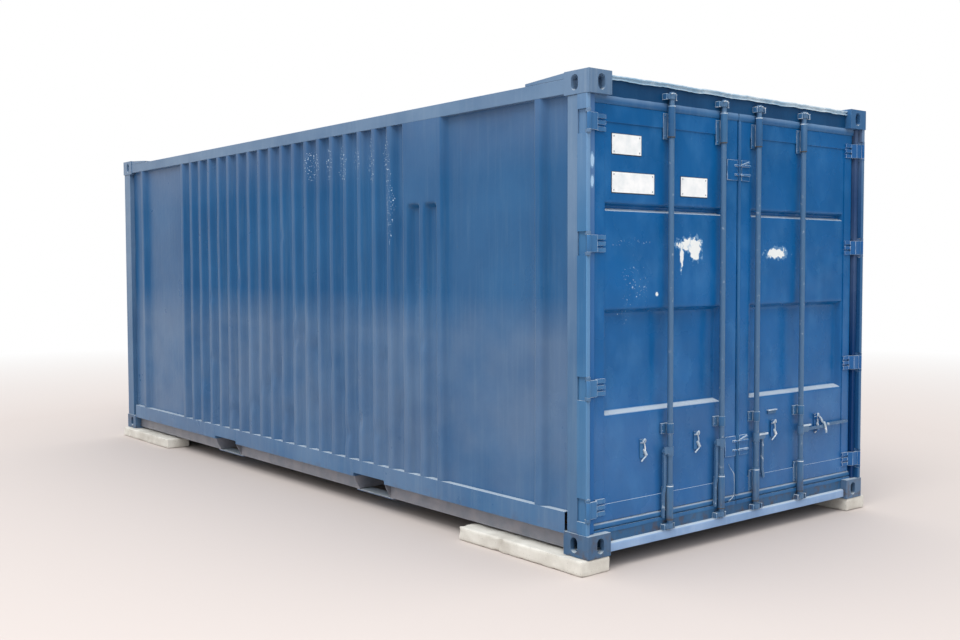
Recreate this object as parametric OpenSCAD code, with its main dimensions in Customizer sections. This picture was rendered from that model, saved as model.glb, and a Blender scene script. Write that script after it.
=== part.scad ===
// Twenty foot shipping container on four concrete kerb blocks, in millimetres.
// X runs along the container with the doors at +X, Z is up and zero is the ground under the blocks.
// Heights in the sections below are measured above the bottom faces of the corner castings.

/* [Container] */
// Length over the corner castings
cont_l = 6058; // [5800:1:6300]
// Width over the corner castings
cont_w = 2438; // [2380:1:2500]
// Height over the corner castings
cont_h = 2438; // [2380:1:2600]
// How far posts, rails and walls stand inside the casting faces
skin_inset = 6; // [3:0.5:9]

/* [Kerb blocks] */
// Length of each concrete block
block_l = 1000; // [700:10:1200]
// Width of each concrete block
block_w = 200; // [180:5:260]
// Height of each concrete block
block_h = 80; // [50:5:150]
// How far a block stands out beside the container
block_out = 43; // [20:1:60]

/* [Corner castings] */
// Length along the container
cast_l = 178; // [170:1:186]
// Width across the container
cast_w = 162; // [156:1:168]
// Height of a casting
cast_h = 118; // [112:1:122]
// Thickness of the three outer walls
cast_wall = 28.5; // [24:0.5:32]
// Thickness of the three inner walls
cast_back = 12; // [8:0.5:13]
// Distance from the end of a casting to the middle of its lifting slot
slot_from_end = 102.5; // [100:0.5:105]
// Distance from the side of a casting to the middle of its lifting slot
slot_from_side = 89.5; // [87.5:0.5:91.5]
// Length of a lifting slot
slot_l = 124; // [110:1:126]
// Width of a lifting slot
slot_w = 63.5; // [55:0.5:66]
// Height of the upright holes in the outer faces
eye_h = 79; // [70:1:82]
// Width of the upright holes in the outer faces
eye_w = 51; // [44:1:56]

/* [Posts and rails] */
// Plate thickness of posts, header and sill
post_t = 6; // [4:0.5:8]
// Plate thickness of the long rails
rail_t = 4.5; // [3:0.5:6]
// Depth of a door post from the end of the container
post_l = 158; // [150:1:165]
// Depth of the step behind the hinges, from the end of the container
post_step = 84; // [76:1:90]
// How far the nose of a door post is set back from the casting
post_setback = 28; // [26:1:32]
// How far the hinge face of a post lies inside the casting face
hinge_inset = 36; // [34:1:42]
// Width of the nose of a door post
nose_w = 33; // [26:1:36]
// Width of the seal flange behind the door edge
seal_w = 75; // [60:1:85]
// Depth of a front post along the container
front_post_l = 133; // [120:1:150]
// Width of a front post across the container
front_post_w = 110; // [95:1:125]
// Drop from the casting tops to the top side rails
top_rail_drop = 33; // [28:1:40]
// Height of a top side rail
top_rail_h = 75; // [60:1:80]
// Length of the sloping gussets on the top side rails beside the castings
gusset_l = 302; // [250:1:340]
// Width of a top side rail
top_rail_w = 60; // [52:1:70]
// Height of the top edge of a bottom side rail
rail_top_z = 215; // [205:1:230]
// Height of the step in a bottom side rail
rail_step_z = 103; // [95:1:112]
// Height of the lower edge of a bottom side rail
rail_low_z = 12; // [8:1:16]
// Depth of the step in a bottom side rail
rail_step = 50; // [44:1:56]
// Width of the foot of a bottom side rail
rail_foot = 30; // [20:1:40]
// Depth of the lower front rail along the container
front_sill_l = 142; // [130:1:142]

/* [Door header and sill] */
// Drop from the casting tops to the underside of the header
header_h = 120; // [119:1:130]
// Drop from the casting tops to the roof edge
roof_drop = 13; // [10:1:18]
// Height of the seal flange above and below the doors
seal_h = 48; // [40:1:52]
// How far header and sill riser are set back from the casting
riser_setback = 41; // [40:1:44]
// Depth of header and sill behind the riser
header_l = 118; // [105:1:125]
// Height of the top of the sill
sill_h = 120; // [119:1:126]
// Height of the ledge along the front of the sill
ledge_z = 60; // [50:1:62]
// How far the ledge is set back from the casting
ledge_setback = 20; // [16:1:26]
// How far the sheet lip over the header stands out in front of it
lip_out = 15; // [8:1:18]
// Height of the turned down edge of the lip
lip_h = 25; // [12:1:27]
// Thickness of the lip
lip_t = 3; // [2:0.5:4]

/* [Walls and roof] */
// Thickness of the wall sheets
sheet_t = 2; // [1.5:0.5:3]
// Depth of the wall corrugation
wave_d = 36; // [28:1:40]
// Flat width of an outer rib
rib_w = 48; // [40:1:56]
// Width of the slope beside a rib
rib_slope = 28; // [22:1:32]
// Number of ribs in the main run of a side wall
rib_count = 22; // [20:1:22]
// Distance from the front of the container to the first rib of the main run
run_from_front = 1259; // [1240:1:1280]
// Distance from the door end to the last rib of the main run
run_from_door = 1241.6; // [1225:0.1:1260]
// Distance from the front of the container to the single front rib
front_rib_from_end = 409; // [390:1:430]
// Distance from the door end to the single rib beside the door post
door_rib_from_end = 385; // [370:1:400]
// Height of the flat marking panel under the top rail
mark_h = 485; // [380:1:630]
// Number of rib spaces that the marking panel covers
mark_spaces = 2; // [1:1:3]
// Depth of the front wall corrugation
front_wave_d = 44; // [36:1:48]
// Number of ribs on the front wall
front_rib_count = 9; // [7:1:9]
// Number of raised fields on the roof
roof_ribs = 27; // [20:1:27]
// Height of the raised fields on the roof
roof_rib_h = 19; // [12:1:19]
// Height of the upper face of the floor
floor_z = 167; // [160:1:175]
// Thickness of the floor boards
floor_t = 28; // [20:1:32]
// Number of cross members between the middle one and a fork pocket
inner_beams = 2; // [1:1:2]
// Number of cross members between a fork pocket and the end
outer_beams = 5; // [3:1:5]
// Distance from a fork pocket to the next cross member on its inner side
inner_beam_gap = 245; // [230:1:260]
// Distance from a fork pocket to the next cross member on its outer side
outer_beam_gap = 295; // [280:1:310]
// Distance from the end of the container to the last cross member
beam_from_end = 329; // [310:1:350]
// Flange width of a cross member
beam_w = 45; // [35:1:50]
// Distance between the middles of the fork pockets
pocket_pitch = 2050; // [2040:1:2060]
// Width of a fork pocket
pocket_w = 360; // [350:1:370]
// Height of the top of a fork pocket
pocket_z = 127; // [120:1:130]
// How far the pocket sides spring back from the skin half way down
pocket_flare = 18; // [12:1:22]
// Width of the straps under the mouths of the fork pockets
pocket_strap_w = 100; // [80:1:110]
// Thickness of these straps
pocket_strap_t = 8; // [6:1:9]

/* [Doors] */
// How far the door face is set back from the casting
door_setback = 46; // [45:1:50]
// Thickness of a door leaf
leaf_t = 50; // [44:1:52]
// Plate thickness of the channels round a leaf
frame_t = 4; // [3:0.5:6]
// How far the seal rolls stand out in front of the leaf
roll_out = 5; // [2:0.5:5]
// Clearance round a closed door
door_gap = 5; // [5:0.5:7]
// Gap between the edge of a leaf and the post
edge_gap = 12; // [10:1:14]
// Half of the gap between the two leaves
seam = 5; // [5:0.5:7]
// Height of the seal roll under a leaf
roll_low = 40; // [36:1:44]
// Height of the seal roll over a leaf
roll_top = 31; // [26:1:36]
// Height of the top and bottom members of a leaf
member_h = 89; // [80:1:95]
// Width of the member along the seam
stile_in = 105; // [100:1:108]
// Width of the member along the hinges
stile_out = 75; // [68:1:80]
// How far the pressed panel lies behind the members
panel_drop = 6; // [4:0.5:8]
// Depth of the pressed recesses
recess_d = 35; // [25:1:36]
// Lower edge of the wide recess
wide_z0 = 708; // [690:1:730]
// Upper edge of the wide recess
wide_z1 = 1247; // [1200:1:1260]
// Drop from the casting tops to the upper edge of the narrow groove
groove_drop = 648; // [630:1:660]
// Height of the narrow groove
groove_h = 41; // [36:1:46]
// Width of the panel margin beside the recesses
recess_margin = 22; // [10:1:26]

/* [Hinges] */
// Height of the lowest hinge
hinge_z0 = 244; // [235:1:260]
// Drop from the casting tops to the highest hinge
hinge_drop = 254; // [248:1:270]
// Places of the hinges between the lowest at 0 and the highest at 1
hinge_shares = [0, 0.316, 0.689, 1];
// Height of a hinge over its two lugs
hinge_h = 118; // [100:1:120]
// Height of each lug
lug_h = 16; // [14:1:20]
// Radius of the hinge pin
hinge_pin_r = 7; // [6:0.5:7.5]
// Radius of the knuckle and the lugs round the pin
knuckle_r = 11; // [10.5:0.5:11.5]
// Thickness of the hinge strap
strap_t = 10; // [8:0.5:10]
// Height of the slots between the fingers of a hinge strap
finger_gap = 11; // [8:1:12]
// Distance between the middles of the fingers
finger_pitch = 31; // [28:1:32]
// Distance of the slots from the hinge edge of a leaf
finger_root = 12; // [8:1:20]

/* [Lock rods] */
// Radius of a lock rod
rod_r = 15; // [12:0.5:15]
// How far the rod axis is set back from the casting
rod_setback = 20; // [20:0.5:22]
// Distance of the inner rods from the middle
inner_rod_y = 157; // [150:1:170]
// Distance of the outer rods from the hinge edge of a leaf
outer_rod_in = 549; // [540:1:560]
// Height of the lower end of the rods
rod_z0 = 63; // [62:1:66]
// Drop from the casting tops to the upper end of the rods
rod_top_drop = 58; // [50:1:64]
// Outer radius of the sleeves
sleeve_r = 19.5; // [19:0.5:20]
// Height of the lower end of the lower sleeves
low_sleeve_z = 112; // [104:1:116]
// Length of the lower sleeves
low_sleeve_l = 183; // [160:1:190]
// Height of the lower end of the middle sleeves
mid_sleeve_z = 575; // [570:1:590]
// Length of the middle sleeves
mid_sleeve_l = 55; // [45:1:65]
// Drop from the casting tops to the lower end of the upper sleeves
top_sleeve_drop = 293; // [285:1:300]
// Length of the upper sleeves
top_sleeve_l = 165; // [140:1:165]
// Length of the cam nose from the rod axis
cam_l = 38; // [32:1:42]
// Height of a cam
cam_h = 28; // [24:1:30]
// Thickness of a keeper lug
keeper_t = 8; // [6:1:12]
// How far the keeper lugs are set back from the casting
keeper_setback = 9; // [3:1:14]

/* [Handles] */
// Height of the handle pivots
hub_z = 480; // [470:1:490]
// Distance of a pivot from its rod axis on the left door
hub_out_left = 34; // [34:1:36]
// Distance of a pivot from its rod axis on the right door
hub_out_right = 66; // [60:1:72]
// Length of the two handles that hang on the left door
handle_left_l = 355; // [300:5:370]
// Length of the short handle that hangs on the right door
handle_short_l = 245; // [240:1:370]
// Length of the handle that is stowed in its catch
handle_stowed_l = 440; // [380:5:440]
// Width of a handle bar
handle_w = 18; // [14:1:18]
// Thickness of a handle bar
handle_t = 12; // [8:1:12]
// Distance along a handle from its pivot to the joggle
joggle_at = 195; // [160:1:200]
// Length of the joggle
joggle_l = 35; // [30:1:40]
// Sideways shift of the joggle
joggle_w = 10; // [6:1:12]
// Distance of a handle catch from its rod
catch_out = 190; // [170:1:220]
// Width of the plate of a catch
catch_w = 32; // [28:1:44]
// Width of the staple and the shelf of a catch
staple_w = 24; // [20:1:28]
// Height of the staple over the handle pivots
staple_z = 48; // [46:1:52]
// Height of the staple itself
staple_h = 36; // [30:1:40]
// Gap between the stowed handle and the shelf below it
shelf_gap = 5; // [4:0.5:7]

/* [Centre brackets] */
// Height of a centre bracket
centre_h = 114; // [100:1:124]
// Drop from the handle pivots to the middle of the lower brackets
centre_low = 34; // [25:1:40]
// Drop from the casting tops to the middle of the upper brackets
centre_top = 433; // [420:1:445]
// Thickness of the bracket plates and of the bar along the seam
centre_t = 8; // [6:1:8]
// How far the ribs of a bracket stand out
centre_rib_out = 12; // [8:1:14]
// Width of the bar along the seam
seam_bar_w = 22; // [18:1:26]

/* [Hidden] */
$fn = 48;
steel_blue = [0.20, 0.36, 0.55];
door_blue = [0.10, 0.28, 0.58];
bare_steel = [0.45, 0.42, 0.40];
half_l = cont_l / 2;
half_w = cont_w / 2;
skin_y = half_w - skin_inset;
skin_x = half_l - skin_inset;
cast_x = half_l - cast_l;
cast_y = half_w - cast_w;
post_top = cont_h - cast_h;
top_rail_z1 = cont_h - top_rail_drop;
top_rail_z0 = top_rail_z1 - top_rail_h;
post_x = half_l - post_l;
front_x = -half_l + front_post_l;
web_y = skin_y - rail_step;
web_in = web_y - rail_t;
door_x = half_l - door_setback;
leaf_back = door_x - leaf_t;
seal_x = leaf_back - door_gap;
nose_y = half_w - hinge_inset;
nose_in = nose_y - nose_w;
seal_in = nose_in - seal_w;
leaf_y = nose_in - edge_gap;
riser_x = half_l - riser_setback;
header_z = cont_h - header_h;
roof_z = cont_h - roof_drop;
leaf_z0 = sill_h + door_gap + roll_low;
leaf_z1 = header_z - door_gap - roll_top;
window_z0 = leaf_z0 + member_h;
window_z1 = leaf_z1 - member_h;
window_y0 = seam + stile_in;
window_y1 = leaf_y - stile_out;
panel_x = door_x - panel_drop;
pin_x = half_l - knuckle_r - 1;
pin_y = half_w - knuckle_r - 1;
strap_x = half_l - post_setback + door_gap;
rod_x = half_l - rod_setback;
rod_z1 = cont_h - rod_top_drop;
run = 0.3;
pin_run = 0.1;
bore_run = 0.5;
plate_t = 6;
beam_z = 17;
handle_x = door_x + 2 * plate_t;
outer_rod_y = leaf_y - outer_rod_in;
rod_ys = [outer_rod_y, inner_rod_y];
wave_pitch = (cont_l - run_from_front - run_from_door) / (rib_count - 1);
mark_z = top_rail_z0 - mark_h;
groove_z1 = cont_h - groove_drop;
groove_z0 = groove_z1 - groove_h;
hinge_zs = [for (share = hinge_shares) hinge_z0 + share * (cont_h - hinge_drop - hinge_z0)];
recess_slope = 19;
groove_slope = 12;

// Unit normal on the left of the way from a to b
function left_of(a, b) = let(d = (b - a) / norm(b - a)) [-d.y, d.x];

// A corner moved by t to the left of two edges that meet there
function corner(p, n1, n2, t) = p + (n1 + n2) * 2 * t / ((n1 + n2) * (n1 + n2));

// An open path moved by t to its left
function shifted(path, t) = let(n = len(path) - 1) [for (i = [0:n])
    corner(path[i], left_of(path[max(i - 1, 0)], path[max(i, 1)]),
        left_of(path[min(i, n - 1)], path[min(i + 1, n)]), t)];

// Outline of a plate of thickness t on the left of an open path
function plate(path, t) = let(other = shifted(path, t)) concat(path,
    [for (i = [len(path) - 1:-1:0]) other[i]]);

// Outline of a bar of width w centred on an open path
function bar(path, w) = plate(shifted(path, -w / 2), w);

// A closed outline, drawn anticlockwise, moved inwards by t
function inset(ring, t) = let(n = len(ring)) [for (i = [0:n - 1])
    corner(ring[i], left_of(ring[(i + n - 1) % n], ring[i]), left_of(ring[i], ring[(i + 1) % n]), t)];

module block(x, y, z) {
    translate([x[0], y[0], z[0]])
        cube([x[1] - x[0], y[1] - y[0], z[1] - z[0]]);
}

// An outline in Y and Z carried along X
module along_x(x) {
    translate([x[0], 0, 0])
        rotate([90, 0, 90])
            linear_extrude(x[1] - x[0])
                children();
}

// An outline in X and Z carried along Y
module along_y(y) {
    translate([0, y[1], 0])
        rotate([90, 0, 0])
            linear_extrude(y[1] - y[0])
                children();
}

module along_z(z) {
    translate([0, 0, z[0]])
        linear_extrude(z[1] - z[0])
            children();
}

module tube_outline(ring, t) {
    difference() {
        polygon(ring);
        polygon(inset(ring, t));
    }
}

// Raises the container onto its blocks
module raised() {
    translate([0, 0, block_h])
        children();
}

module on_side(side) {
    mirror([0, side < 0 ? 1 : 0, 0])
        children();
}

module both_sides() {
    for (side = [-1, 1])
        on_side(side)
            children();
}

module both_ends() {
    for (turn = [0, 1])
        mirror([turn, 0, 0])
            children();
}

module stadium(l, w) {
    square([l - w, w], center = true);
    for (s = [-1, 1])
        translate([s * (l - w) / 2, 0])
            circle(d = w);
}

module kerb_blocks() {
    color([0.72, 0.70, 0.66])
        both_sides() both_ends()
            block([half_l - block_l, half_l], [half_w + block_out - block_w, half_w + block_out],
                [0, block_h]);
}

// One hollow casting with its bearing face at the bottom, a slot there and eyes in two sides
module casting() {
    slot_at = [half_l - slot_from_end, half_w - slot_from_side];
    difference() {
        block([cast_x, half_l], [cast_y, half_w], [0, cast_h]);
        block([cast_x + cast_back, half_l - cast_wall], [cast_y + cast_back, half_w - cast_wall],
            [cast_wall, cast_h - cast_back]);
        translate([slot_at.x, slot_at.y, -1])
            linear_extrude(cast_h / 2)
                stadium(slot_l, slot_w);
        along_x([half_l - cast_wall - 1, half_l + 1])
            translate([slot_at.y, cast_h / 2])
                rotate(90)
                    stadium(eye_h, eye_w);
        along_y([half_w - cast_wall - 1, half_w + 1])
            translate([slot_at.x, cast_h / 2])
                rotate(90)
                    stadium(eye_h, eye_w);
    }
}

module bottom_castings() {
    color(steel_blue)
        raised() both_sides() both_ends()
            casting();
}

module top_castings() {
    color(steel_blue)
        raised() both_sides() both_ends()
            translate([0, 0, cont_h])
                mirror([0, 0, 1])
                    casting();
}

module door_posts() {
    ring = [[post_x, seal_in], [seal_x, seal_in], [seal_x, nose_in],
        [half_l - post_setback, nose_in], [half_l - post_setback, nose_y],
        [half_l - post_step, nose_y], [half_l - post_step, skin_y], [post_x, skin_y]];
    color(steel_blue)
        raised() both_sides()
            along_z([cast_h, post_top])
                tube_outline(ring, post_t);
}

module front_posts() {
    ring = [[-skin_x, skin_y - front_post_w], [front_x, skin_y - front_post_w],
        [front_x, skin_y], [-skin_x, skin_y]];
    color(steel_blue)
        raised() both_sides()
            along_z([cast_h, post_top])
                tube_outline(ring, post_t);
}

// The rails in three lengths each, which end at the mouths of the fork pockets
module bottom_rails() {
    path = [[web_y - rail_foot, rail_low_z], [web_y, rail_low_z], [web_y, rail_step_z],
        [skin_y, rail_step_z], [skin_y, rail_top_z], [web_in, rail_top_z]];
    near = (pocket_pitch - pocket_w) / 2;
    far = (pocket_pitch + pocket_w) / 2;
    color(steel_blue)
        raised() both_sides()
            for (x = [[-cast_x, -far], [-near, near], [far, cast_x]])
                along_x(x)
                    polygon(plate(path, rail_t));
}

// The upper part of the rails, which runs on over the mouths of the fork pockets
module rail_bridges() {
    path = [[skin_y, pocket_z], [skin_y, rail_top_z], [web_in, rail_top_z]];
    color(steel_blue)
        raised() both_sides()
            at_pockets()
                along_x([-pocket_w / 2, pocket_w / 2])
                    polygon(plate(path, rail_t));
}

module at_pockets() {
    for (s = [-1, 1])
        translate([s * pocket_pitch / 2, 0, 0])
            children();
}

module top_rails() {
    ring = [[skin_y - top_rail_w, top_rail_z0], [skin_y, top_rail_z0], [skin_y, top_rail_z1],
        [skin_y - top_rail_w, top_rail_z1]];
    color(steel_blue)
        raised() both_sides()
            along_x([-cast_x, cast_x])
                tube_outline(ring, rail_t);
}

// A sloping plate with an upright flange on each end of the top side rails
module roof_gussets() {
    low = [cast_x - gusset_l, top_rail_z1 + (cont_h - top_rail_z1) * 0.4];
    high = [cast_x, cont_h - sheet_t];
    color(steel_blue)
        raised() both_sides() both_ends() {
            along_y([skin_y - top_rail_w, skin_y])
                polygon([low, high, high - [0, rail_t], low - [0, rail_t]]);
            along_y([skin_y - rail_t, skin_y])
                polygon([[low.x, top_rail_z1], [high.x, top_rail_z1], high, low]);
        }
}

// A box over the doors with a lower seal flange that reaches to the posts
module door_header() {
    back = riser_x - header_l;
    ring = [[back, header_z - seal_h], [seal_x, header_z - seal_h], [seal_x, header_z],
        [riser_x, header_z], [riser_x, roof_z], [back, roof_z]];
    flange = [[back, header_z - seal_h], [seal_x, header_z - seal_h], [seal_x, header_z], [back, header_z]];
    color(door_blue)
        raised() {
            along_y([-cast_y, cast_y])
                tube_outline(ring, post_t);
            both_sides()
                along_y([cast_y, seal_in])
                    tube_outline(flange, post_t);
        }
}

// A thin lip of roof sheet that turns down in front of the header
module header_lip() {
    front = riser_x + lip_out;
    path = [[riser_x - 2 * lip_out, roof_z], [front, roof_z], [front, roof_z - lip_h]];
    color(door_blue)
        raised()
            along_y([-cast_y, cast_y])
                polygon(plate(path, lip_t));
}

// A channel under the doors with an upper seal flange that reaches to the posts
module door_sill() {
    back = riser_x - header_l;
    flange = [[seal_x, cast_h], [seal_x, floor_z], [back, floor_z]];
    path = concat([[back, rail_low_z], [riser_x, rail_low_z], [riser_x, sill_h], [seal_x, sill_h]],
        [flange[1], flange[2]]);
    color(door_blue)
        raised() {
            along_y([-cast_y, cast_y])
                polygon(plate(path, post_t));
            both_sides()
                along_y([cast_y, seal_in])
                    polygon(plate(flange, post_t));
        }
}

// The box along the foot of the sill that the keepers stand on
module sill_ledge() {
    front = half_l - ledge_setback;
    ring = [[riser_x, rail_low_z], [front, rail_low_z], [front, ledge_z], [riser_x, ledge_z]];
    color(door_blue)
        raised()
            along_y([-cast_y, cast_y])
                tube_outline(ring, post_t);
}

module front_rails() {
    back = -skin_x + front_sill_l;
    low = [[-skin_x, rail_low_z], [back, rail_low_z], [back, rail_top_z], [-skin_x, rail_top_z]];
    high = [[-skin_x, post_top], [-skin_x + top_rail_w, post_top],
        [-skin_x + top_rail_w, top_rail_z1], [-skin_x, top_rail_z1]];
    color(steel_blue)
        raised()
            along_y([-cast_y, cast_y])
                for (ring = [low, high])
                    tube_outline(ring, rail_t);
}

// Four corners of one rib: in, out, out, in
function rib(at, outer, inner) = [[at - rib_w / 2 - rib_slope, inner], [at - rib_w / 2, outer],
    [at + rib_w / 2, outer], [at + rib_w / 2 + rib_slope, inner]];

// A run of points joined from a list of ribs
function joined(ribs) = [for (r = ribs, p = r) p];

rib_xs = concat([-half_l + front_rib_from_end],
    [for (k = [0:rib_count - 1]) -half_l + run_from_front + k * wave_pitch], [half_l - door_rib_from_end]);

// Middles of the first and the last rib that the marking panel joins
mark_x1 = -half_l + run_from_front + (rib_count - 1) * wave_pitch;
mark_x0 = mark_x1 - mark_spaces * wave_pitch;

// The side wall seen from above, drawn on the +Y side and carried upwards in two stages
module side_wall(side) {
    outer = skin_y;
    inner = skin_y - wave_d;
    ribs = [for (at = rib_xs) rib(at, outer, inner)];
    panel = [rib(mark_x0, outer, inner)[0], rib(mark_x0, outer, inner)[1],
        rib(mark_x1, outer, inner)[2], rib(mark_x1, outer, inner)[3]];
    plain = [for (r = ribs) if (r[3].x < mark_x0 || r[0].x > mark_x1) r];
    before = [for (r = plain) if (r[0].x < mark_x0) r];
    after = [for (r = plain) if (r[0].x > mark_x0) r];
    color(steel_blue)
        raised() on_side(side)
            difference() {
                union() {
                    along_z([rail_top_z, mark_z])
                        wall_outline(ribs, inner);
                    along_z([mark_z, top_rail_z0])
                        wall_outline(concat(before, [panel], after), inner);
                    for (k = [0:mark_spaces - 1])
                        recess_head(mark_x0 + k * wave_pitch, outer, inner);
                }
                for (x = [[-half_l, -cast_x], [cast_x, half_l]])
                    block(x, [cast_y, half_w], [post_top, cont_h]);
            }
}

module wall_outline(ribs, inner) {
    polygon(plate(concat([[front_x, inner]], joined(ribs), [[post_x, inner]]), -sheet_t));
}

// A slanted plate that closes the recess between two ribs below the marking panel
module recess_head(at, outer, inner) {
    mouth = [rib(at, outer, inner)[2], rib(at, outer, inner)[3],
        rib(at + wave_pitch, outer, inner)[0], rib(at + wave_pitch, outer, inner)[1]];
    intersection() {
        along_z([mark_z - 2 * rib_slope, mark_z])
            polygon(concat(mouth, [mouth[3] - [0, wave_d * 2], mouth[0] - [0, wave_d * 2]]));
        along_x([mouth[0].x, mouth[3].x])
            polygon(plate([[outer, mark_z], [inner - sheet_t, mark_z - rib_slope]], sheet_t));
    }
}

module front_wall() {
    outer = -skin_x;
    inner = outer + front_wave_d;
    span = 2 * (skin_y - front_post_w);
    pitch = span / front_rib_count;
    ys = [for (k = [0:front_rib_count - 1]) -span / 2 + pitch * (k + 0.5)];
    ribs = [for (at = ys) [for (p = rib(at, outer, inner)) [p.y, p.x]]];
    path = concat([[inner, -span / 2]], joined(ribs), [[inner, span / 2]]);
    color(steel_blue)
        raised()
            along_z([rail_top_z, post_top])
                polygon(plate(path, -sheet_t));
}

// A flat sheet with raised fields across it, whose ends slope down before the rails
module roof_sheet() {
    x0 = -skin_x + top_rail_w;
    x1 = riser_x - header_l;
    pitch = (x1 - x0) / roof_ribs;
    z0 = top_rail_z1;
    edge = skin_y - top_rail_w;
    slope = roof_rib_h + 3;
    flat_w = pitch / 2 - slope;
    fields = joined([for (k = [0:roof_ribs - 1]) let(at = x0 + pitch * (k + 0.5))
        [[at - flat_w / 2 - slope, 0], [at - flat_w / 2, roof_rib_h],
        [at + flat_w / 2, roof_rib_h], [at + flat_w / 2 + slope, 0]]]);
    color(steel_blue)
        raised()
            translate([0, 0, z0])
                difference() {
                    union() {
                        roof_fields(fields, edge, slope);
                        block([x0 - top_rail_w / 2, x1], [-edge - top_rail_w / 2, edge + top_rail_w / 2],
                            [0, sheet_t]);
                    }
                    both_sides() both_ends()
                        block([cast_x, half_l], [cast_y, half_w], [-1, cont_h - z0]);
                    translate([0, 0, -sheet_t])
                        difference() {
                            roof_fields(fields, edge, slope);
                            block([x0, x1], [-edge, edge], [0, sheet_t]);
                        }
                }
}

module roof_fields(fields, edge, slope) {
    foot = edge - slope;
    intersection() {
        along_y([-edge, edge])
            polygon(concat([[fields[0].x, sheet_t / 2]], [for (p = fields) p + [0, sheet_t]],
                [[fields[len(fields) - 1].x, sheet_t / 2]]));
        along_x([fields[0].x - 1, fields[len(fields) - 1].x + 1])
            polygon([[-foot, sheet_t / 2], [foot, sheet_t / 2], [foot, sheet_t],
                [foot - slope, sheet_t + roof_rib_h], [slope - foot, sheet_t + roof_rib_h],
                [-foot, sheet_t]]);
    }
}

module floor_boards() {
    color([0.42, 0.33, 0.24])
        raised()
            block([-skin_x + front_sill_l, riser_x - header_l], [-web_in, web_in],
                [floor_z - floor_t, floor_z]);
}

// Open channels across the floor, in one group between the fork pockets and one at each end
module cross_members() {
    path = [[beam_w, beam_z], [0, beam_z], [0, floor_z - floor_t], [beam_w, floor_z - floor_t]];
    inner_pitch = (pocket_pitch / 2 - pocket_w / 2 - inner_beam_gap) / inner_beams;
    first = pocket_pitch / 2 + pocket_w / 2 + outer_beam_gap;
    outer_pitch = (half_l - beam_from_end - first) / (outer_beams - 1);
    color(steel_blue)
        raised() {
            for (k = [-inner_beams:inner_beams])
                cross_member(k * inner_pitch, path);
            for (s = [-1, 1], k = [0:outer_beams - 1])
                cross_member(s * (first + k * outer_pitch), path);
        }
}

module cross_member(at, path) {
    translate([at, 0, 0])
        along_y([-web_in, web_in])
            polygon(plate(path, -rail_t));
}

module fork_pockets() {
    color(steel_blue)
        raised() at_pockets() {
            for (x = [[-pocket_w / 2, rail_t - pocket_w / 2], [pocket_w / 2 - rail_t, pocket_w / 2]])
                pocket_side(x);
            both_sides()
                pocket_strap();
        }
}

// A plate across the container that springs from the skin in to the feet of the rails
module pocket_side(x) {
    foot = rail_low_z + rail_t;
    half = [[web_y, foot], [skin_y - pocket_flare, (pocket_z + foot) / 2], [skin_y, pocket_z]];
    along_x(x)
        polygon(concat(half, [for (p = [half[2], half[1], half[0]]) [-p.x, p.y]]));
}

module pocket_roofs() {
    color(steel_blue)
        raised() at_pockets()
            block([-pocket_w / 2, pocket_w / 2], [rail_t - skin_y, skin_y - rail_t],
                [pocket_z, pocket_z + rail_t]);
}

// A flat strap under the rail that closes the mouth of a fork pocket below
module pocket_strap() {
    reach = pocket_w / 2 + rail_foot;
    block([-reach, reach], [web_y - pocket_strap_w, web_y], [rail_low_z - pocket_strap_t, rail_low_z]);
}

module hinge_lugs() {
    color(steel_blue)
        raised() both_sides()
            for (z = hinge_zs)
                translate([0, 0, z])
                    hinge_lug();
}

// Two lugs on the post with the pin standing between them
module hinge_lug() {
    foot_x = half_l - post_setback - 8;
    outline = [[foot_x - 40, nose_y], [foot_x, nose_y], [pin_x + knuckle_r, pin_y],
        [pin_x, pin_y + knuckle_r], [pin_x - 8, pin_y + knuckle_r]];
    for (s = [-1, 1])
        along_z(s < 0 ? [-hinge_h / 2, -hinge_h / 2 + lug_h] : [hinge_h / 2 - lug_h, hinge_h / 2]) {
            polygon(outline);
            translate([pin_x, pin_y])
                circle(r = knuckle_r);
        }
    translate([pin_x, pin_y, -hinge_h / 2 - 4])
        cylinder(r = hinge_pin_r, h = hinge_h + 8);
}

module hinge_straps(side) {
    color(door_blue)
        raised() on_side(side)
            for (z = hinge_zs)
                translate([0, 0, z])
                    hinge_strap();
}

// A knuckle round the pin, a strap past the post nose and fingers on the leaf
module hinge_strap() {
    h0 = -hinge_h / 2 + lug_h + run;
    h1 = hinge_h / 2 - lug_h - run;
    finger_y = leaf_y - stile_out;
    mid_x = strap_x + strap_t / 2;
    low_x = door_x + strap_t / 2;
    bend_y = nose_in - 4;
    path = [[mid_x, pin_y], [mid_x, bend_y], [low_x, bend_y - (mid_x - low_x)], [low_x, finger_y]];
    difference() {
        along_z([h0, h1]) {
            polygon(bar(path, strap_t));
            translate([pin_x, pin_y])
                circle(r = knuckle_r);
        }
        translate([pin_x, pin_y, h0 - 1])
            cylinder(r = hinge_pin_r + pin_run, h = h1 - h0 + 2);
        for (z = [-finger_pitch, finger_pitch] / 2)
            block([door_x - 1, door_x + strap_t + 1], [finger_y - 1, leaf_y - finger_root],
                [z - finger_gap / 2, z + finger_gap / 2]);
    }
}

// Channels round the leaf that are open at the back
module door_frame(side) {
    wall = [-frame_t, frame_t];
    color(door_blue)
        raised() on_side(side)
            difference() {
                block([leaf_back, door_x], [seam, leaf_y], [leaf_z0, leaf_z1]);
                block([leaf_back - 1, door_x + 1], [window_y0, window_y1], [window_z0, window_z1]);
                difference() {
                    block([leaf_back - 1, door_x - frame_t], [seam, leaf_y] - wall,
                        [leaf_z0, leaf_z1] - wall);
                    block([leaf_back - 2, door_x], [window_y0, window_y1] + wall,
                        [window_z0, window_z1] + wall);
                }
            }
}

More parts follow.
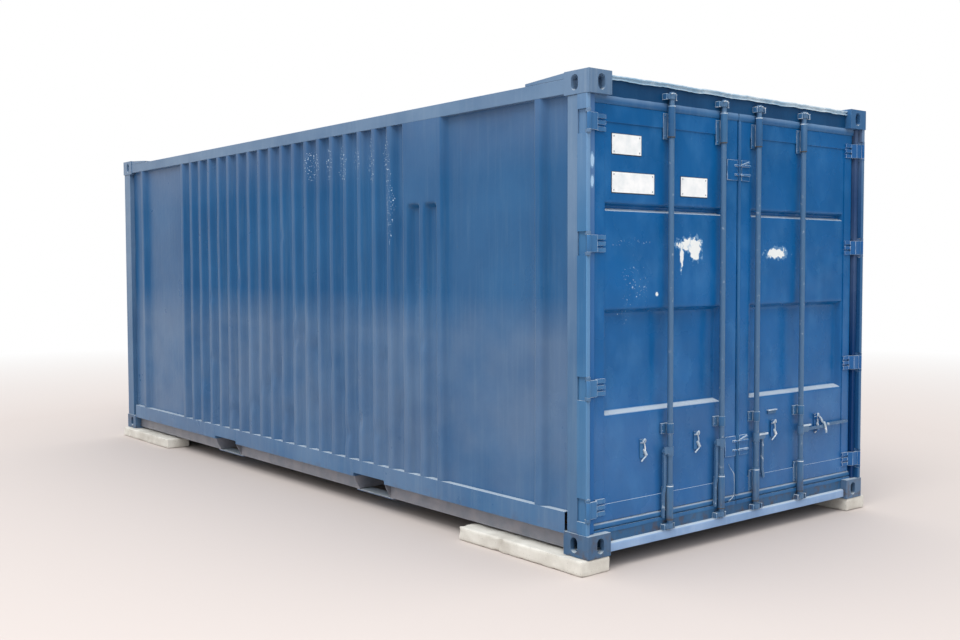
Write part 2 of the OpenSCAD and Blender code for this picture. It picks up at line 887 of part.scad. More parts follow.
// A shallow tray shape with sloped sides, mouth on the panel face
module tray(y, z, depth, slope) {
    intersection() {
        along_z(z)
            polygon([[panel_x, y[0]], [panel_x + 1, y[0]], [panel_x + 1, y[1]], [panel_x, y[1]],
                [panel_x - depth, y[1] - slope], [panel_x - depth, y[0] + slope]]);
        along_y(y)
            polygon([[panel_x, z[0]], [panel_x + 1, z[0]], [panel_x + 1, z[1]], [panel_x, z[1]],
                [panel_x - depth, z[1] - slope], [panel_x - depth, z[0] + slope]]);
    }
}

module door_trays() {
    y = [window_y0 + recess_margin, window_y1 - recess_margin / 2];
    tray(y, [wide_z0, wide_z1], recess_d, recess_slope);
    tray(y, [groove_z0, groove_z1], recess_d, groove_slope);
}

module door_panel(side) {
    color(door_blue)
        raised() on_side(side)
            difference() {
                union() {
                    block([panel_x - sheet_t, panel_x], [window_y0, window_y1], [window_z0, window_z1]);
                    intersection() {
                        translate([-sheet_t, 0, 0])
                            door_trays();
                        block([leaf_back, panel_x], [window_y0, window_y1], [window_z0, window_z1]);
                    }
                }
                door_trays();
            }
}

// A rubber roll round the leaf
module door_seal(side) {
    y0 = seam / 2;
    y1 = nose_in - 2.5;
    x0 = leaf_back;
    x1 = door_x - 8;
    color([0.12, 0.25, 0.45])
        raised() on_side(side)
            difference() {
                union() {
                    block([x0, x1], [y0, y1], [leaf_z0 - 8, leaf_z1 + 8]);
                    seal_roll([y0, y1], [leaf_z0 - roll_low, leaf_z0 - 2], x0, door_x + roll_out);
                    seal_roll([y0, y1], [leaf_z1 + 2, leaf_z1 + roll_top], x0, door_x + roll_out);
                }
                block([leaf_back - 1, door_x + 1], [seam, leaf_y], [leaf_z0, leaf_z1]);
            }
}

// A bar along Y with a round front
module seal_roll(y, z, x0, x1) {
    r = (z[1] - z[0]) / 2;
    along_y(y) {
        translate([x0, z[0]])
            square([x1 - r - x0, 2 * r]);
        translate([x1 - r, z[0] + r])
            circle(r = r);
    }
}

// A sleeve round the rod on a foot plate that is bolted to the leaf
module rod_guide(y, z, foot_z, foot_w, foot_x) {
    difference() {
        union() {
            translate([rod_x, y, z[0]])
                cylinder(r = sleeve_r, h = z[1] - z[0]);
            block([foot_x, door_x + plate_t], [y - foot_w, y + foot_w], foot_z);
            block([foot_x, rod_x - rod_r / 2], [y - rod_r / 2, y + rod_r / 2],
                [max(z[0], foot_z[0]), min(z[1], foot_z[1])]);
        }
        translate([rod_x, y, z[0] - 1])
            cylinder(r = rod_r + bore_run, h = z[1] - z[0] + 2);
    }
}

low_sleeve = [low_sleeve_z, low_sleeve_z + low_sleeve_l];
mid_sleeve = [mid_sleeve_z, mid_sleeve_z + mid_sleeve_l];
top_sleeve = [cont_h - top_sleeve_drop, cont_h - top_sleeve_drop + top_sleeve_l];

module rod_guides(side) {
    color(door_blue)
        raised() on_side(side)
            for (y = rod_ys) {
                rod_guide(y, low_sleeve, [leaf_z0 + 7, low_sleeve[1] - 5], 35, door_x);
                rod_guide(y, mid_sleeve, mid_sleeve, 45, panel_x);
                rod_guide(y, top_sleeve, [top_sleeve[0] - 10, leaf_z1 - 12], 40, door_x);
            }
}

module lock_rod(side, y) {
    color(bare_steel)
        raised() on_side(side)
            translate([rod_x, y, rod_z0])
                cylinder(r = rod_r, h = rod_z1 - rod_z0);
}

// The cams, the stop collar and the handle hub that are welded round a rod
module rod_fittings(side, y, out) {
    color(bare_steel)
        raised() on_side(side)
            translate([rod_x, y, 0])
                difference() {
                    union() {
                        for (z = [rod_z0 + 2, rod_z1 - 10 - cam_h])
                            along_z([z, z + cam_h])
                                cam_outline();
                        translate([0, 0, low_sleeve[1] + run])
                            cylinder(r = sleeve_r, h = collar_h);
                        translate([0, 0, hub_z - hub_h / 2])
                            cylinder(r = sleeve_r, h = hub_h);
                        hub_arm(out);
                    }
                    translate([0, 0, rod_z0 - 1])
                        cylinder(r = rod_r, h = rod_z1 - rod_z0 + 2);
                }
}

// Plan of a cam: a heel round the rod and a nose towards the hinge side
module cam_outline() {
    nose_r = 12;
    circle(r = sleeve_r);
    translate([-rod_r, 0])
        square([2 * nose_r, cam_l - nose_r]);
    translate([-rod_r + nose_r, cam_l - nose_r])
        circle(r = nose_r);
}

collar_h = 9;
hub_h = 50;
eye_r = 14;
pivot_r = 6;
head_t = 4;
arm_t = 8;
arm_top = 25;
arm_x = handle_x - rod_x + handle_t + run;

// The arm outside the handle with the headed pivot that goes through its eye
module hub_arm(out) {
    translate([0, 0, hub_z]) {
        block([arm_x, arm_x + arm_t], [0, out], [-eye_r, arm_top]);
        block([arm_x, arm_x + arm_t], [out, out + eye_r], [0, arm_top]);
        translate([arm_x, out, 0])
            rotate([0, 90, 0])
                cylinder(r = eye_r, h = arm_t);
        translate([handle_x - rod_x - head_t, out, 0])
            rotate([0, 90, 0]) {
                cylinder(r = pivot_r, h = handle_t + 2 * head_t);
                cylinder(r = pivot_r + 3, h = head_t - run);
            }
    }
}

// A flat bar with an eye at its pivot and a joggle half way down
module rod_handle(side, y, out, l, up) {
    path = [[0, 0], [0, -joggle_at], [joggle_w, -joggle_at - joggle_l], [joggle_w, -l + handle_w / 2]];
    color(bare_steel)
        raised() on_side(side)
            translate([handle_x, y + out, hub_z])
                rotate([up, 0, 0])
                    along_x([0, handle_t])
                        difference() {
                            union() {
                                polygon(bar(path, handle_w));
                                circle(r = eye_r);
                                translate(path[3])
                                    circle(r = handle_w / 2);
                            }
                            circle(r = pivot_r + pin_run);
                        }
}

// A plate on the panel with a staple above the handle, and a shelf under a stowed one
module handle_catch(y, shelf) {
    edge = plate_t - 2;
    shelf_top = hub_z - handle_w / 2 - shelf_gap;
    block([panel_x, door_x + plate_t], [y - catch_w / 2, y + catch_w / 2],
        [shelf_top - 2 * plate_t - edge, hub_z + staple_z + staple_h + edge]);
    block([door_x + plate_t, handle_x + handle_t - 2], [y - staple_w / 2, y + staple_w / 2],
        [hub_z + staple_z, hub_z + staple_z + staple_h]);
    if (shelf)
        block([door_x + plate_t, handle_x + handle_t - 1], [y - staple_w / 2, y + staple_w / 2],
            [shelf_top - plate_t - 2, shelf_top]);
}

module handle_catches(side) {
    color(bare_steel)
        raised() on_side(side) {
            handle_catch(inner_rod_y + catch_out, false);
            handle_catch(outer_rod_y + catch_out, side > 0);
        }
}

// Flat on the left leaf with two short ribs, and on the right one with long ribs and a brace
module centre_plates(side) {
    color(door_blue)
        raised() on_side(side)
            for (z = [hub_z - centre_low, cont_h - centre_top])
                translate([0, 0, z])
                    centre_plate(side > 0);
}

module centre_plate(braced) {
    y0 = braced ? seam + seam_bar_w : seam + 3;
    y1 = stile_in - 5;
    face = [door_x, door_x + centre_t];
    out = [door_x + centre_t, door_x + centre_t + centre_rib_out];
    rib_t = 8;
    block(face, [y0, y1], [-centre_h / 2, centre_h / 2]);
    for (z = [-centre_h / 4, centre_h / 5])
        block(out, [seam + 1, braced ? y1 - 4 : seam + 30], [z, z + rib_t]);
    if (braced)
        along_x(out)
            polygon(bar([[y0 + 4, centre_h / 5 + rib_t], [y1 - 10, centre_h / 2 - rib_t]], rib_t));
}

// The rounded bar on the right leaf along the seam between the leaves
module seam_bar() {
    r = seam_bar_w / 2;
    color(door_blue)
        raised()
            along_z([leaf_z0, leaf_z1])
                intersection() {
                    translate([door_x + centre_t - r, seam + r])
                        circle(r = r);
                    translate([door_x, seam])
                        square([centre_t, seam_bar_w]);
                }
}

module lock_keepers() {
    color(steel_blue)
        raised() both_sides()
            for (y = rod_ys, z = [ledge_z, rod_z1 - cam_h - 14])
                for (at = [y - sleeve_r - door_gap - keeper_t, y + cam_l + door_gap])
                    block([riser_x, half_l - keeper_setback], [at, at + keeper_t], [z, z + cam_h + 4]);
}

kerb_blocks();
bottom_castings();
top_castings();
door_posts();
front_posts();
bottom_rails();
rail_bridges();
top_rails();
roof_gussets();
door_header();
header_lip();
door_sill();
sill_ledge();
front_rails();
side_wall(-1);  // side_wall_left
side_wall(1);  // side_wall_right
front_wall();
roof_sheet();
floor_boards();
cross_members();
fork_pockets();
pocket_roofs();
hinge_lugs();
lock_keepers();
door_frame(-1);  // left_door_frame
door_panel(-1);  // left_door_panel
door_seal(-1);  // left_door_seal
hinge_straps(-1);  // left_hinge_straps
rod_guides(-1);  // left_rod_guides
handle_catches(-1);  // left_handle_catches
centre_plates(-1);  // left_centre_plates
door_frame(1);  // right_door_frame
door_panel(1);  // right_door_panel
door_seal(1);  // right_door_seal
hinge_straps(1);  // right_hinge_straps
rod_guides(1);  // right_rod_guides
handle_catches(1);  // right_handle_catches
centre_plates(1);  // right_centre_plates
seam_bar();
lock_rod(-1, outer_rod_y);  // lock_rod_1
lock_rod(-1, inner_rod_y);  // lock_rod_2
lock_rod(1, inner_rod_y);  // lock_rod_3
lock_rod(1, outer_rod_y);  // lock_rod_4
rod_fittings(-1, outer_rod_y, hub_out_left);  // rod_fittings_1
rod_fittings(-1, inner_rod_y, hub_out_left);  // rod_fittings_2
rod_fittings(1, inner_rod_y, hub_out_right);  // rod_fittings_3
rod_fittings(1, outer_rod_y, hub_out_right);  // rod_fittings_4
rod_handle(-1, outer_rod_y, hub_out_left, handle_left_l, 0);  // rod_handle_1
rod_handle(-1, inner_rod_y, hub_out_left, handle_left_l, 0);  // rod_handle_2
rod_handle(1, inner_rod_y, hub_out_right, handle_short_l, 0);  // rod_handle_3
rod_handle(1, outer_rod_y, hub_out_right, handle_stowed_l, 90);  // rod_handle_4
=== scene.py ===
"""A blue twenty foot container on concrete kerb blocks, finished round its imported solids."""
import math

import bmesh
import bpy
import numpy as np
from mathutils import Matrix, Vector


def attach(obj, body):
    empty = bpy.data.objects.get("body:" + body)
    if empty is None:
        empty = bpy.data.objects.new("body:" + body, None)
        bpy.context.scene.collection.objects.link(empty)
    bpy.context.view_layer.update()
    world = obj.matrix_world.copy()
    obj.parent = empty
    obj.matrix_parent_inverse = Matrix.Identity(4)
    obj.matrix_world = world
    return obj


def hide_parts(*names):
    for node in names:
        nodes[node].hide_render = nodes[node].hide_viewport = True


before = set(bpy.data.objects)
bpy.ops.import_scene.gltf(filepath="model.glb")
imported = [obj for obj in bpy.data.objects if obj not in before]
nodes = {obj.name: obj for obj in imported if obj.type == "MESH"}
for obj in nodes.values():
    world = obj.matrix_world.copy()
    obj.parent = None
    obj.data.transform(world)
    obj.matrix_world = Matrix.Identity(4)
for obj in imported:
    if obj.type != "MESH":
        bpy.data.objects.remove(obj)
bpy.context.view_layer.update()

# The camera of the photograph, solved from the corner castings
CAM_PLACE = (6.8637, -5.0112, 1.5403)
CAM_YAW = 2.4612
CAM_PITCH = -0.0477
CAM_ROLL = -0.0028
CAM_LENS = 40.84
CAM_SENSOR = 36

# Places in millimetres, from the container's own sizes; z counts from the ground
BLOCK_H = 80
HALF_L = 3029
SKIN_Y = 1213
SHEET_T = 2
WALL_X = (-2896, 2871)
WALL_Z = (BLOCK_H + 215, BLOCK_H + 2330)
WAVE_D = 36
RIB_W = 48
RIB_SLOPE = 28
RIB_PITCH = 169.4
FIRST_RIB = -1770
RIBS = np.array([-2620] + [FIRST_RIB + RIB_PITCH * k for k in range(22)] + [2644])
# The flat panel that fills the last two spaces between ribs, up to the rail
FLAT_X = (FIRST_RIB + 19 * RIB_PITCH, FIRST_RIB + 21 * RIB_PITCH)
FLAT_Z = BLOCK_H + 1845
# The pressed panel of a door, and its trays: y from the middle plane, z, and the width of the slopes
PANEL_X = 2977
PANEL_Y = (110, 1063)
PANEL_Z = (BLOCK_H + 254, BLOCK_H + 2193)
TRAY_D = 35
TRAYS = (
    ((132, 1052), (BLOCK_H + 708, BLOCK_H + 1247), 19),
    ((132, 1052), (BLOCK_H + 1749, BLOCK_H + 1790), 12),
)
# Data plates on the left door: y and z
PLATES = (((-1005, -790), (2118, 2219)), ((-1005, -690), (1923, 2026)), ((-477, -260), (1923, 2026)))
# Heights of the hinges and half the height of one
HINGE_Z = [BLOCK_H + 244 + 1940 * share for share in (0, 0.316, 0.689, 1)]
HINGE_HALF = 60
SIDES = {-1: "left", 1: "right"}


def srgb(code):
    """A hex colour as linear light: each channel undoes the sRGB curve."""
    c = np.array([int(code[i:i + 2], 16) for i in (1, 3, 5)]) / 255
    lin = np.where(c <= 0.04045, c / 12.92, ((c + 0.055) / 1.055) ** 2.4)
    return (*lin.tolist(), 1.0)


def add_camera():
    """Camera axes from yaw, pitch and roll: forward first, then right, then up."""
    level = math.cos(CAM_PITCH)
    forward = Vector((level * math.cos(CAM_YAW), level * math.sin(CAM_YAW), math.sin(CAM_PITCH)))
    right = forward.cross(Vector((0, 0, 1))).normalized()
    up = right.cross(forward)
    c, s = math.cos(CAM_ROLL), math.sin(CAM_ROLL)
    right, up = c * right + s * up, -s * right + c * up
    data = bpy.data.cameras.new("photo_camera")
    data.lens = CAM_LENS
    data.sensor_width = CAM_SENSOR
    cam = bpy.data.objects.new("photo_camera", data)
    bpy.context.scene.collection.objects.link(cam)
    turn = Matrix((right, up, -forward)).transposed().to_4x4()
    cam.matrix_world = Matrix.Translation(CAM_PLACE) @ turn
    bpy.context.scene.camera = cam


add_camera()


# Materials

def add(tree, kind, settings=None, links=None):
    """Adds a shader node by the end of its type name, sets sockets or properties by name, and links sockets
    from (node, output) pairs."""
    n = tree.nodes.new("ShaderNode" + kind)
    for key, value in (settings or {}).items():
        if isinstance(key, int) or key in n.inputs:
            n.inputs[key].default_value = value
        else:
            setattr(n, key, value)
    for key, (source, out) in (links or {}).items():
        tree.links.new(source.outputs[out], n.inputs[key])
    return n


def plug(tree, n, socket, value):
    """Links a (node, output) pair into a socket, or sets it to a value."""
    if isinstance(value, tuple) and isinstance(value[0], bpy.types.Node):
        tree.links.new(value[0].outputs[value[1]], n.inputs[socket])
    else:
        n.inputs[socket].default_value = value


def new_material(name):
    """A material with a Principled shader, and the node that gives the place on the object."""
    m = bpy.data.materials.new(name)
    m.use_nodes = True
    tree = m.node_tree
    tree.nodes.clear()
    out = add(tree, "OutputMaterial")
    shader = add(tree, "BsdfPrincipled")
    tree.links.new(shader.outputs[0], out.inputs[0])
    place = add(tree, "TexCoord")
    return m, tree, shader, place


def noise(tree, place, size, stretch=(1, 1, 1), detail=3, seed=0.0):
    """Noise whose blotches are about size metres wide, drawn out along an axis by a stretch above 1."""
    scale = tuple(1 / (size * s) for s in stretch)
    moved = add(tree, "Mapping", {"Scale": scale, "Location": (seed, seed * 1.7, seed * 0.6)},
                {"Vector": (place, "Object")})
    return add(tree, "TexNoise", {"Scale": 1.0, "Detail": detail, "Roughness": 0.55},
               {"Vector": (moved, 0)})


def ramp(tree, source, low, high, start=0.0, end=1.0):
    """A value that runs from start to end while its source runs from low to high."""
    n = add(tree, "MapRange", {"From Min": low, "From Max": high, "To Min": start, "To Max": end})
    plug(tree, n, "Value", source if isinstance(source, tuple) else (source, 0))
    return (n, 0)


def mix(tree, share, a, b):
    """Colour b over colour a by a share, each a colour or a (node, output) pair."""
    n = add(tree, "Mix", {"data_type": "RGBA"})
    for socket, value in ((0, share), (6, a), (7, b)):
        plug(tree, n, socket, value)
    return (n, 2)


def calc(tree, operation, a, b):
    """One sum, of numbers or (node, output) pairs."""
    n = add(tree, "Math", {"operation": operation})
    plug(tree, n, 0, a)
    plug(tree, n, 1, b)
    return (n, 0)


def layer(tree, under, tone, share, strength):
    """A tone over a colour by a share times a strength."""
    return mix(tree, calc(tree, "MULTIPLY", share, strength), under, srgb(tone))


def spot(tree, place, centre, radii, seed, ragged):
    """A share that is 1 inside a ragged ellipsoid, whose centre and radii are in metres; a radius of 0 lets
    it run right along that axis."""
    size = [1 / r if r else 0 for r in radii]
    origin = [-c * k for c, k in zip(centre, size)]
    moved = add(tree, "Mapping", {"Location": origin, "Scale": size}, {"Vector": (place, "Object")})
    far = add(tree, "VectorMath", {"operation": "LENGTH"}, {0: (moved, 0)})
    torn = calc(tree, "MULTIPLY", (noise(tree, place, TEAR_SIZE, detail=6, seed=seed), 0), ragged * 2)
    return ramp(tree, calc(tree, "ADD", (far, "Value"), torn), 1.02 + ragged, 0.94 + ragged)


def surface(tree, shader, colour, rough, *layers):
    """Colour, roughness and bump layers of (noise, strength, distance in metres), the first one deepest."""
    plug(tree, shader, "Base Color", colour)
    plug(tree, shader, "Roughness", rough)
    normal = None
    for height, strength, distance in layers:
        n = add(tree, "Bump", {"Strength": strength, "Distance": distance}, {"Height": (height, 0)})
        if normal:
            tree.links.new(normal.outputs[0], n.inputs["Normal"])
        normal = n
    if normal:
        tree.links.new(normal.outputs[0], shader.inputs["Normal"])


def dust_and_top_light(tree, colour, strength, low=0.45, high=0.85):
    """Pale dust and painted top light on faces that look up, by the height of their normal."""
    face = add(tree, "NewGeometry")
    up = add(tree, "SeparateXYZ", None, {0: (face, "Normal")})
    return layer(tree, colour, "#c3ced4", ramp(tree, (up, 2), low, high), strength)


# Sizes in the paint, in metres: faded clouds, rain streaks, chips and the patches that they keep to, clouds
# of dust and painted sheen, creeping rust and how far it climbs, chalk, mud, torn edges, flakes, gloss,
# roller grain and dents
CLOUD_SIZE = 0.45
STREAK_SIZE = 0.03
CHIP_SIZE = 0.012
PATCH_SIZE = 0.22
DUST_AND_SHEEN_SIZE = 0.5
RUST_SIZE = 0.05
RUST_CLIMB = 0.16
CHALK_SIZE = 0.16
MUD_SIZE = 0.12
TEAR_SIZE = 0.028
FLAKE_SIZE = 0.010
GLOSS_SIZE = 0.3
PEEL_SIZE = 0.006
DENT_SIZE = 0.09
# Half the height over which a band of mud fades out
MUD_EDGE = 0.002
ENAMEL_IOR = 1.32


def mud_band(tree, place, height, colour, low, high):
    """Dried mud in two tones between two heights."""
    inside = calc(tree, "MULTIPLY", ramp(tree, height, low - MUD_EDGE, low + MUD_EDGE),
                  ramp(tree, height, high + MUD_EDGE, high - MUD_EDGE))
    clouds = ramp(tree, noise(tree, place, MUD_SIZE, detail=5, seed=6.3), 0.35, 0.65)
    mud = mix(tree, clouds, srgb("#8f8c90"), srgb("#77797f"))
    return mix(tree, calc(tree, "MULTIPLY", inside, 0.9), colour, mud)


def container_paint(name, base, worn, dust, haze=0.2, rust_low=None, rough=0.28, torn=(), coat="#e9edec",
                    flaked=(), specks=0.62, band=None, dust_and_sheen=(), bloom=0.0, right=None, tones=(),
                    top_dust_and_light=0.8):
    """Alkyd enamel rolled over steel: cloudy fading, faint rain streaks, small chips down to primer, rust
    that creeps up from rust_low metres, bands of dust and of painted sheen that thicken from one height to
    the next up to a share, chalky bloom, spots torn off a pale coat below, zones of small pale flakes, a
    band of mud, another tone on the right half that paints the shade and light falling otherwise there, and
    tones along x, y, z or the distance from the middle plane, which are ways 0 to 3. Dust and painted top
    light lie on what looks up."""
    m, tree, shader, place = new_material(name)
    clouds = noise(tree, place, CLOUD_SIZE, detail=5)
    colour = mix(tree, ramp(tree, clouds, 0.38, 0.66), srgb(base), srgb(worn))
    streaks = noise(tree, place, STREAK_SIZE, stretch=(1, 1, 18), detail=5, seed=3.1)
    colour = layer(tree, colour, dust, ramp(tree, streaks, 0.50, 0.80), haze)
    fine = noise(tree, place, CHIP_SIZE, detail=5, seed=7.7)
    patches = noise(tree, place, PATCH_SIZE, seed=5.2)
    chip = calc(tree, "MULTIPLY", ramp(tree, fine, 0.69, 0.72), ramp(tree, patches, 0.58, 0.62))
    colour = layer(tree, colour, "#4a4038", chip, 0.7)
    at = add(tree, "SeparateXYZ", None, {0: (place, "Object")})
    ways = ((at, 0), (at, 1), (at, 2), calc(tree, "ABSOLUTE", (at, 1), 0))
    height = ways[2]
    if right:
        colour = layer(tree, colour, right, ramp(tree, ways[1], -0.4, 0.4), 0.85)
    for way, low, high, tone in tones:
        colour = mix(tree, ramp(tree, ways[way], low, high), colour, srgb(tone))
    cloudy = ramp(tree, noise(tree, place, DUST_AND_SHEEN_SIZE, detail=5, seed=2.9), 0.15, 0.65)
    # Bands by height: dust low down, painted sheen up the posts and flanges, a painted highlight on the seal
    # roll
    for low, high, share, tone in dust_and_sheen:
        cover = calc(tree, "MULTIPLY", ramp(tree, height, low, high), cloudy)
        colour = layer(tree, colour, tone, cover, share)
    if bloom:
        chalk = noise(tree, place, CHALK_SIZE, stretch=(1, 1, 1.6), detail=5, seed=4.4)
        colour = layer(tree, colour, "#5c9cd0", ramp(tree, chalk, 0.48, 0.72), bloom)
    if rust_low is not None:
        creep = ramp(tree, noise(tree, place, RUST_SIZE, detail=6, seed=9.4), 0.50, 0.66)
        low = ramp(tree, height, rust_low + RUST_CLIMB, rust_low)
        colour = layer(tree, colour, "#574538", calc(tree, "MULTIPLY", creep, low), 0.7)
    if band:
        colour = mud_band(tree, place, height, colour, *band)
    # Pale dust and painted top light on faces that look up
    colour = dust_and_top_light(tree, colour, top_dust_and_light)
    for centre, radii, seed, ragged in torn:
        fringe = spot(tree, place, centre, [1.35 * r for r in radii], seed, ragged)
        colour = layer(tree, colour, "#86b0d2", fringe, 0.45)
        colour = mix(tree, spot(tree, place, centre, radii, seed, ragged), colour, srgb(coat))
    for centre, radii in flaked:
        near = spot(tree, place, centre, radii, 1.0, 0.5)
        bits = noise(tree, place, FLAKE_SIZE, detail=4, seed=centre[0] + centre[1])
        colour = layer(tree, colour, "#c9dcec", near, ramp(tree, bits, specks, specks + 0.03))
    gloss = ramp(tree, noise(tree, place, GLOSS_SIZE, detail=4, seed=1.3), 0, 1, rough - 0.08, rough + 0.14)
    plug(tree, shader, "IOR", ENAMEL_IOR)
    peel = noise(tree, place, PEEL_SIZE, detail=2, seed=2.2)
    dents = noise(tree, place, DENT_SIZE, seed=4.8)
    surface(tree, shader, colour, gloss, (dents, 0.35, 0.005), (peel, 0.15, 0.0008))
    return m


def cast_concrete():
    """Kerb concrete: pale cement skin, dust, dark pores of 2 to 6 mm and a sandy grain."""
    m, tree, shader, place = new_material("cast_concrete_kerb")
    clouds = noise(tree, place, 0.18, detail=6)
    colour = mix(tree, ramp(tree, clouds, 0.35, 0.7), srgb("#dedbd2"), srgb("#bfbab0"))
    pores = add(tree, "TexVoronoi", {"Scale": 1 / 0.02}, {"Vector": (place, "Object")})
    colour = layer(tree, colour, "#938c80", ramp(tree, pores, 0.16, 0.08), 0.45)
    surface(tree, shader, colour, 0.9, (noise(tree, place, 0.02, detail=6, seed=5.0), 0.5, 0.004),
            (noise(tree, place, 0.004, detail=6, seed=1.0), 0.5, 0.002))
    return m


def worn_gear(name, base, bare, share, rust):
    """Steel under blue paint, rubbed bare by hands and weather: share and rust say how much shows."""
    m, tree, shader, place = new_material(name)
    wear = noise(tree, place, 0.03, detail=6, seed=6.0)
    mask = ramp(tree, wear, 0.66 - share * 0.3, 0.74 - share * 0.3)
    colour = layer(tree, srgb(base), bare, mask, 0.8)
    brown = ramp(tree, noise(tree, place, 0.018, detail=5, seed=8.0), 0.62, 0.74)
    colour = layer(tree, colour, "#5f4330", brown, rust)
    surface(tree, shader, colour, 0.38, (noise(tree, place, 0.004, seed=2.0), 0.3, 0.0008))
    return m


def worn_highlit_edge(name, base, bright):
    """A worn edge with a painted highlight: paint thinned to pale primer in short runs, and dust and painted
    top light where it looks up.
    """
    m, tree, shader, place = new_material(name)
    runs = ramp(tree, noise(tree, place, 0.05, detail=5, seed=3.3), 0.40, 0.60)
    colour = mix(tree, runs, srgb(base), srgb(bright))
    surface(tree, shader, dust_and_top_light(tree, colour, 0.9, 0.15, 0.7), 0.35)
    return m


def plain_material(name, base, other, size, rough, stretch=(1, 1, 1)):
    """Two tones in soft blotches of one size, with a grit of 3 mm."""
    m, tree, shader, place = new_material(name)
    blotch = noise(tree, place, size, stretch=stretch, detail=5)
    colour = mix(tree, ramp(tree, blotch, 0.35, 0.7), srgb(base), srgb(other))
    surface(tree, shader, colour, rough, (noise(tree, place, 0.003, seed=2.0), 0.25, 0.0006))
    return m


# Where the doors' paint is torn: x, y, z and radii in metres, seed, raggedness
TORN = (
    ((0, -0.405, 1.662), (0, 0.080, 0.030), 2.0, 1.2), ((0, -0.350, 1.640), (0, 0.045, 0.055), 2.6, 1.2),
    ((0, -0.462, 1.600), (0, 0.014, 0.055), 3.0, 1.3), ((0, 0.375, 1.622), (0, 0.080, 0.026), 4.0, 1.2),
    ((0, -0.660, 1.400), (0, 0.010, 0.010), 8.0, 0.5),
)
# Where the doors' paint is scratched into fine flakes: x, y, z and radii in metres
SCRATCHED = (
    ((0, -0.870, 1.668), (0, 0.150, 0.028)), ((0, -0.830, 1.490), (0, 0.100, 0.080)),
    ((0, -0.870, 1.350), (0, 0.060, 0.120)), ((0, -0.780, 1.400), (0, 0.050, 0.050)),
)
# Where the left door post is chipped to a pale coat beside the door, in the same order as TORN
POST_CHIPS = (
    ((3.0, -1.168, 2.072), (0.02, 0.012, 0.032), 1.5, 0.3),
    ((3.0, -1.168, 1.969), (0.02, 0.010, 0.026), 2.5, 0.3),
)
# Where rubbing took small flakes off the ribs of the photographed wall: x, y, z and radii in metres
FLAKED = (
    ((0.35, 0, 2.24), (0.10, 0, 0.11)), ((0.55, 0, 2.24), (0.07, 0, 0.14)),
    ((0.72, 0, 2.22), (0.07, 0, 0.15)), ((0.89, 0, 2.22), (0.06, 0, 0.14)),
    ((1.06, 0, 2.21), (0.06, 0, 0.17)), ((1.23, 0, 2.22), (0.06, 0, 0.18)),
    ((1.27, 0, 1.95), (0.05, 0, 0.26)),
)
# Bands that thicken from one height to another, of dust low down and of painted sheen up the frame: the two
# heights in metres, the share and the tone
LOW_DUST = (1.40, 1.15, 0.13, "#c4c8c8")
FRAME_SHEEN = (1.0, 1.7, 0.20, "#a2b6cb")
side_paint = container_paint("side_enamel_blue", "#1c5280", "#245a88", "#5d7c96", flaked=FLAKED,
                             dust_and_sheen=(LOW_DUST, (2.05, 2.35, 0.08, "#b9b4bc")))
# The right half of the frame is painted darker: painted shade
frame_paint = container_paint("frame_enamel_blue", "#426589", "#4c6e90", "#8094a8", rust_low=0.08,
                              dust_and_sheen=(FRAME_SHEEN,), right="#22507e")
# The nose of each door post has the doors' colour, and the right post is darker: painted shade
post_paint = container_paint("post_enamel_blue", "#426589", "#4c6e90", "#8094a8", rust_low=0.08,
                             dust_and_sheen=(FRAME_SHEEN,), torn=POST_CHIPS, coat="#a3c4e2",
                             tones=((3, 1.1805, 1.1795, "#1b5c98"), (1, 1.0, 1.1, "#0a3566")))
# The front of each post's outer flange is painted paler than its sides, a painted highlight. Both flanges
# grow paler towards the top, a painted sheen, and the left one also paler towards the bottom
left_flange_paint = container_paint("left_flange_enamel", "#2b618f", "#386d99", "#7f9cb6", rust_low=0.08,
                                    dust_and_sheen=((1.7, 2.2, 0.16, "#b9c6d6"), (1.2, 0.5, 0.55, "#4d7193")),
                                    tones=((0, 3.0085, 3.0105, "#5887b3"),))
right_flange_paint = container_paint("right_flange_enamel", "#164676", "#1f5080", "#4f718f", rust_low=0.08,
                                     dust_and_sheen=((1.7, 2.2, 0.22, "#b9c6d6"),),
                                     tones=((0, 3.0205, 3.0225, "#33608a"),))
# The upper castings are paler than the lower ones, a painted sheen. Each casting's right half takes another
# tone: darker above, painted shade, and paler below, painted light
cast_pale = container_paint("sheen_pale_casting_enamel", "#557393", "#6c85a1", "#97a6b5", haze=0.4,
                            right="#2c5f8e")
cast_dark = container_paint("muddy_casting_enamel", "#3c5c7c", "#4a6787", "#6d7f90", haze=0.3, rust_low=0.10,
                            right="#55718f")
rail_paint = container_paint("rail_enamel_blue", "#225886", "#2e6390", "#67829b", haze=0.3, rust_low=0.08,
                             band=(0.088, 0.183), dust_and_sheen=(LOW_DUST,))
door_paint = container_paint("door_enamel_blue", "#07558f", "#0d5d9b", "#30739f", haze=0.12, rust_low=0.12,
                             rough=0.24, torn=TORN, flaked=SCRATCHED, specks=0.66, bloom=0.14,
                             dust_and_sheen=((0.95, 0.70, 0.06, "#c4c8c8"),))
sill_paint = container_paint("shaded_sill_enamel", "#275178", "#376289", "#75889a", haze=0.15, rust_low=0.14,
                             rough=0.4)
# The ledge along the sill is pale from scuffing and from painted light on the lit step
ledge_paint = container_paint("scuffed_lit_ledge_enamel", "#7a99c0", "#92add0", "#c9d4e0", haze=0.12, rough=0.4)
# The lip over the doors is painted pale, a painted reflection of the sky along it and its hem
lip_paint = container_paint("sky_sheen_lip_enamel", "#8fb0c8", "#c6d6e0", "#e2e9ec", haze=0.6, rough=0.4)
header_paint = container_paint("shaded_header_enamel", "#0f3f68", "#154a76", "#355f85", haze=0.1)
# The upper half of the top seal roll is painted paler: a painted highlight
seal_paint = container_paint("painted_seal_rubber", "#245a8c", "#326a9b", "#6f8ba5", rough=0.4,
                             dust_and_sheen=((2.376, 2.396, 0.30, "#a9c4de"),))
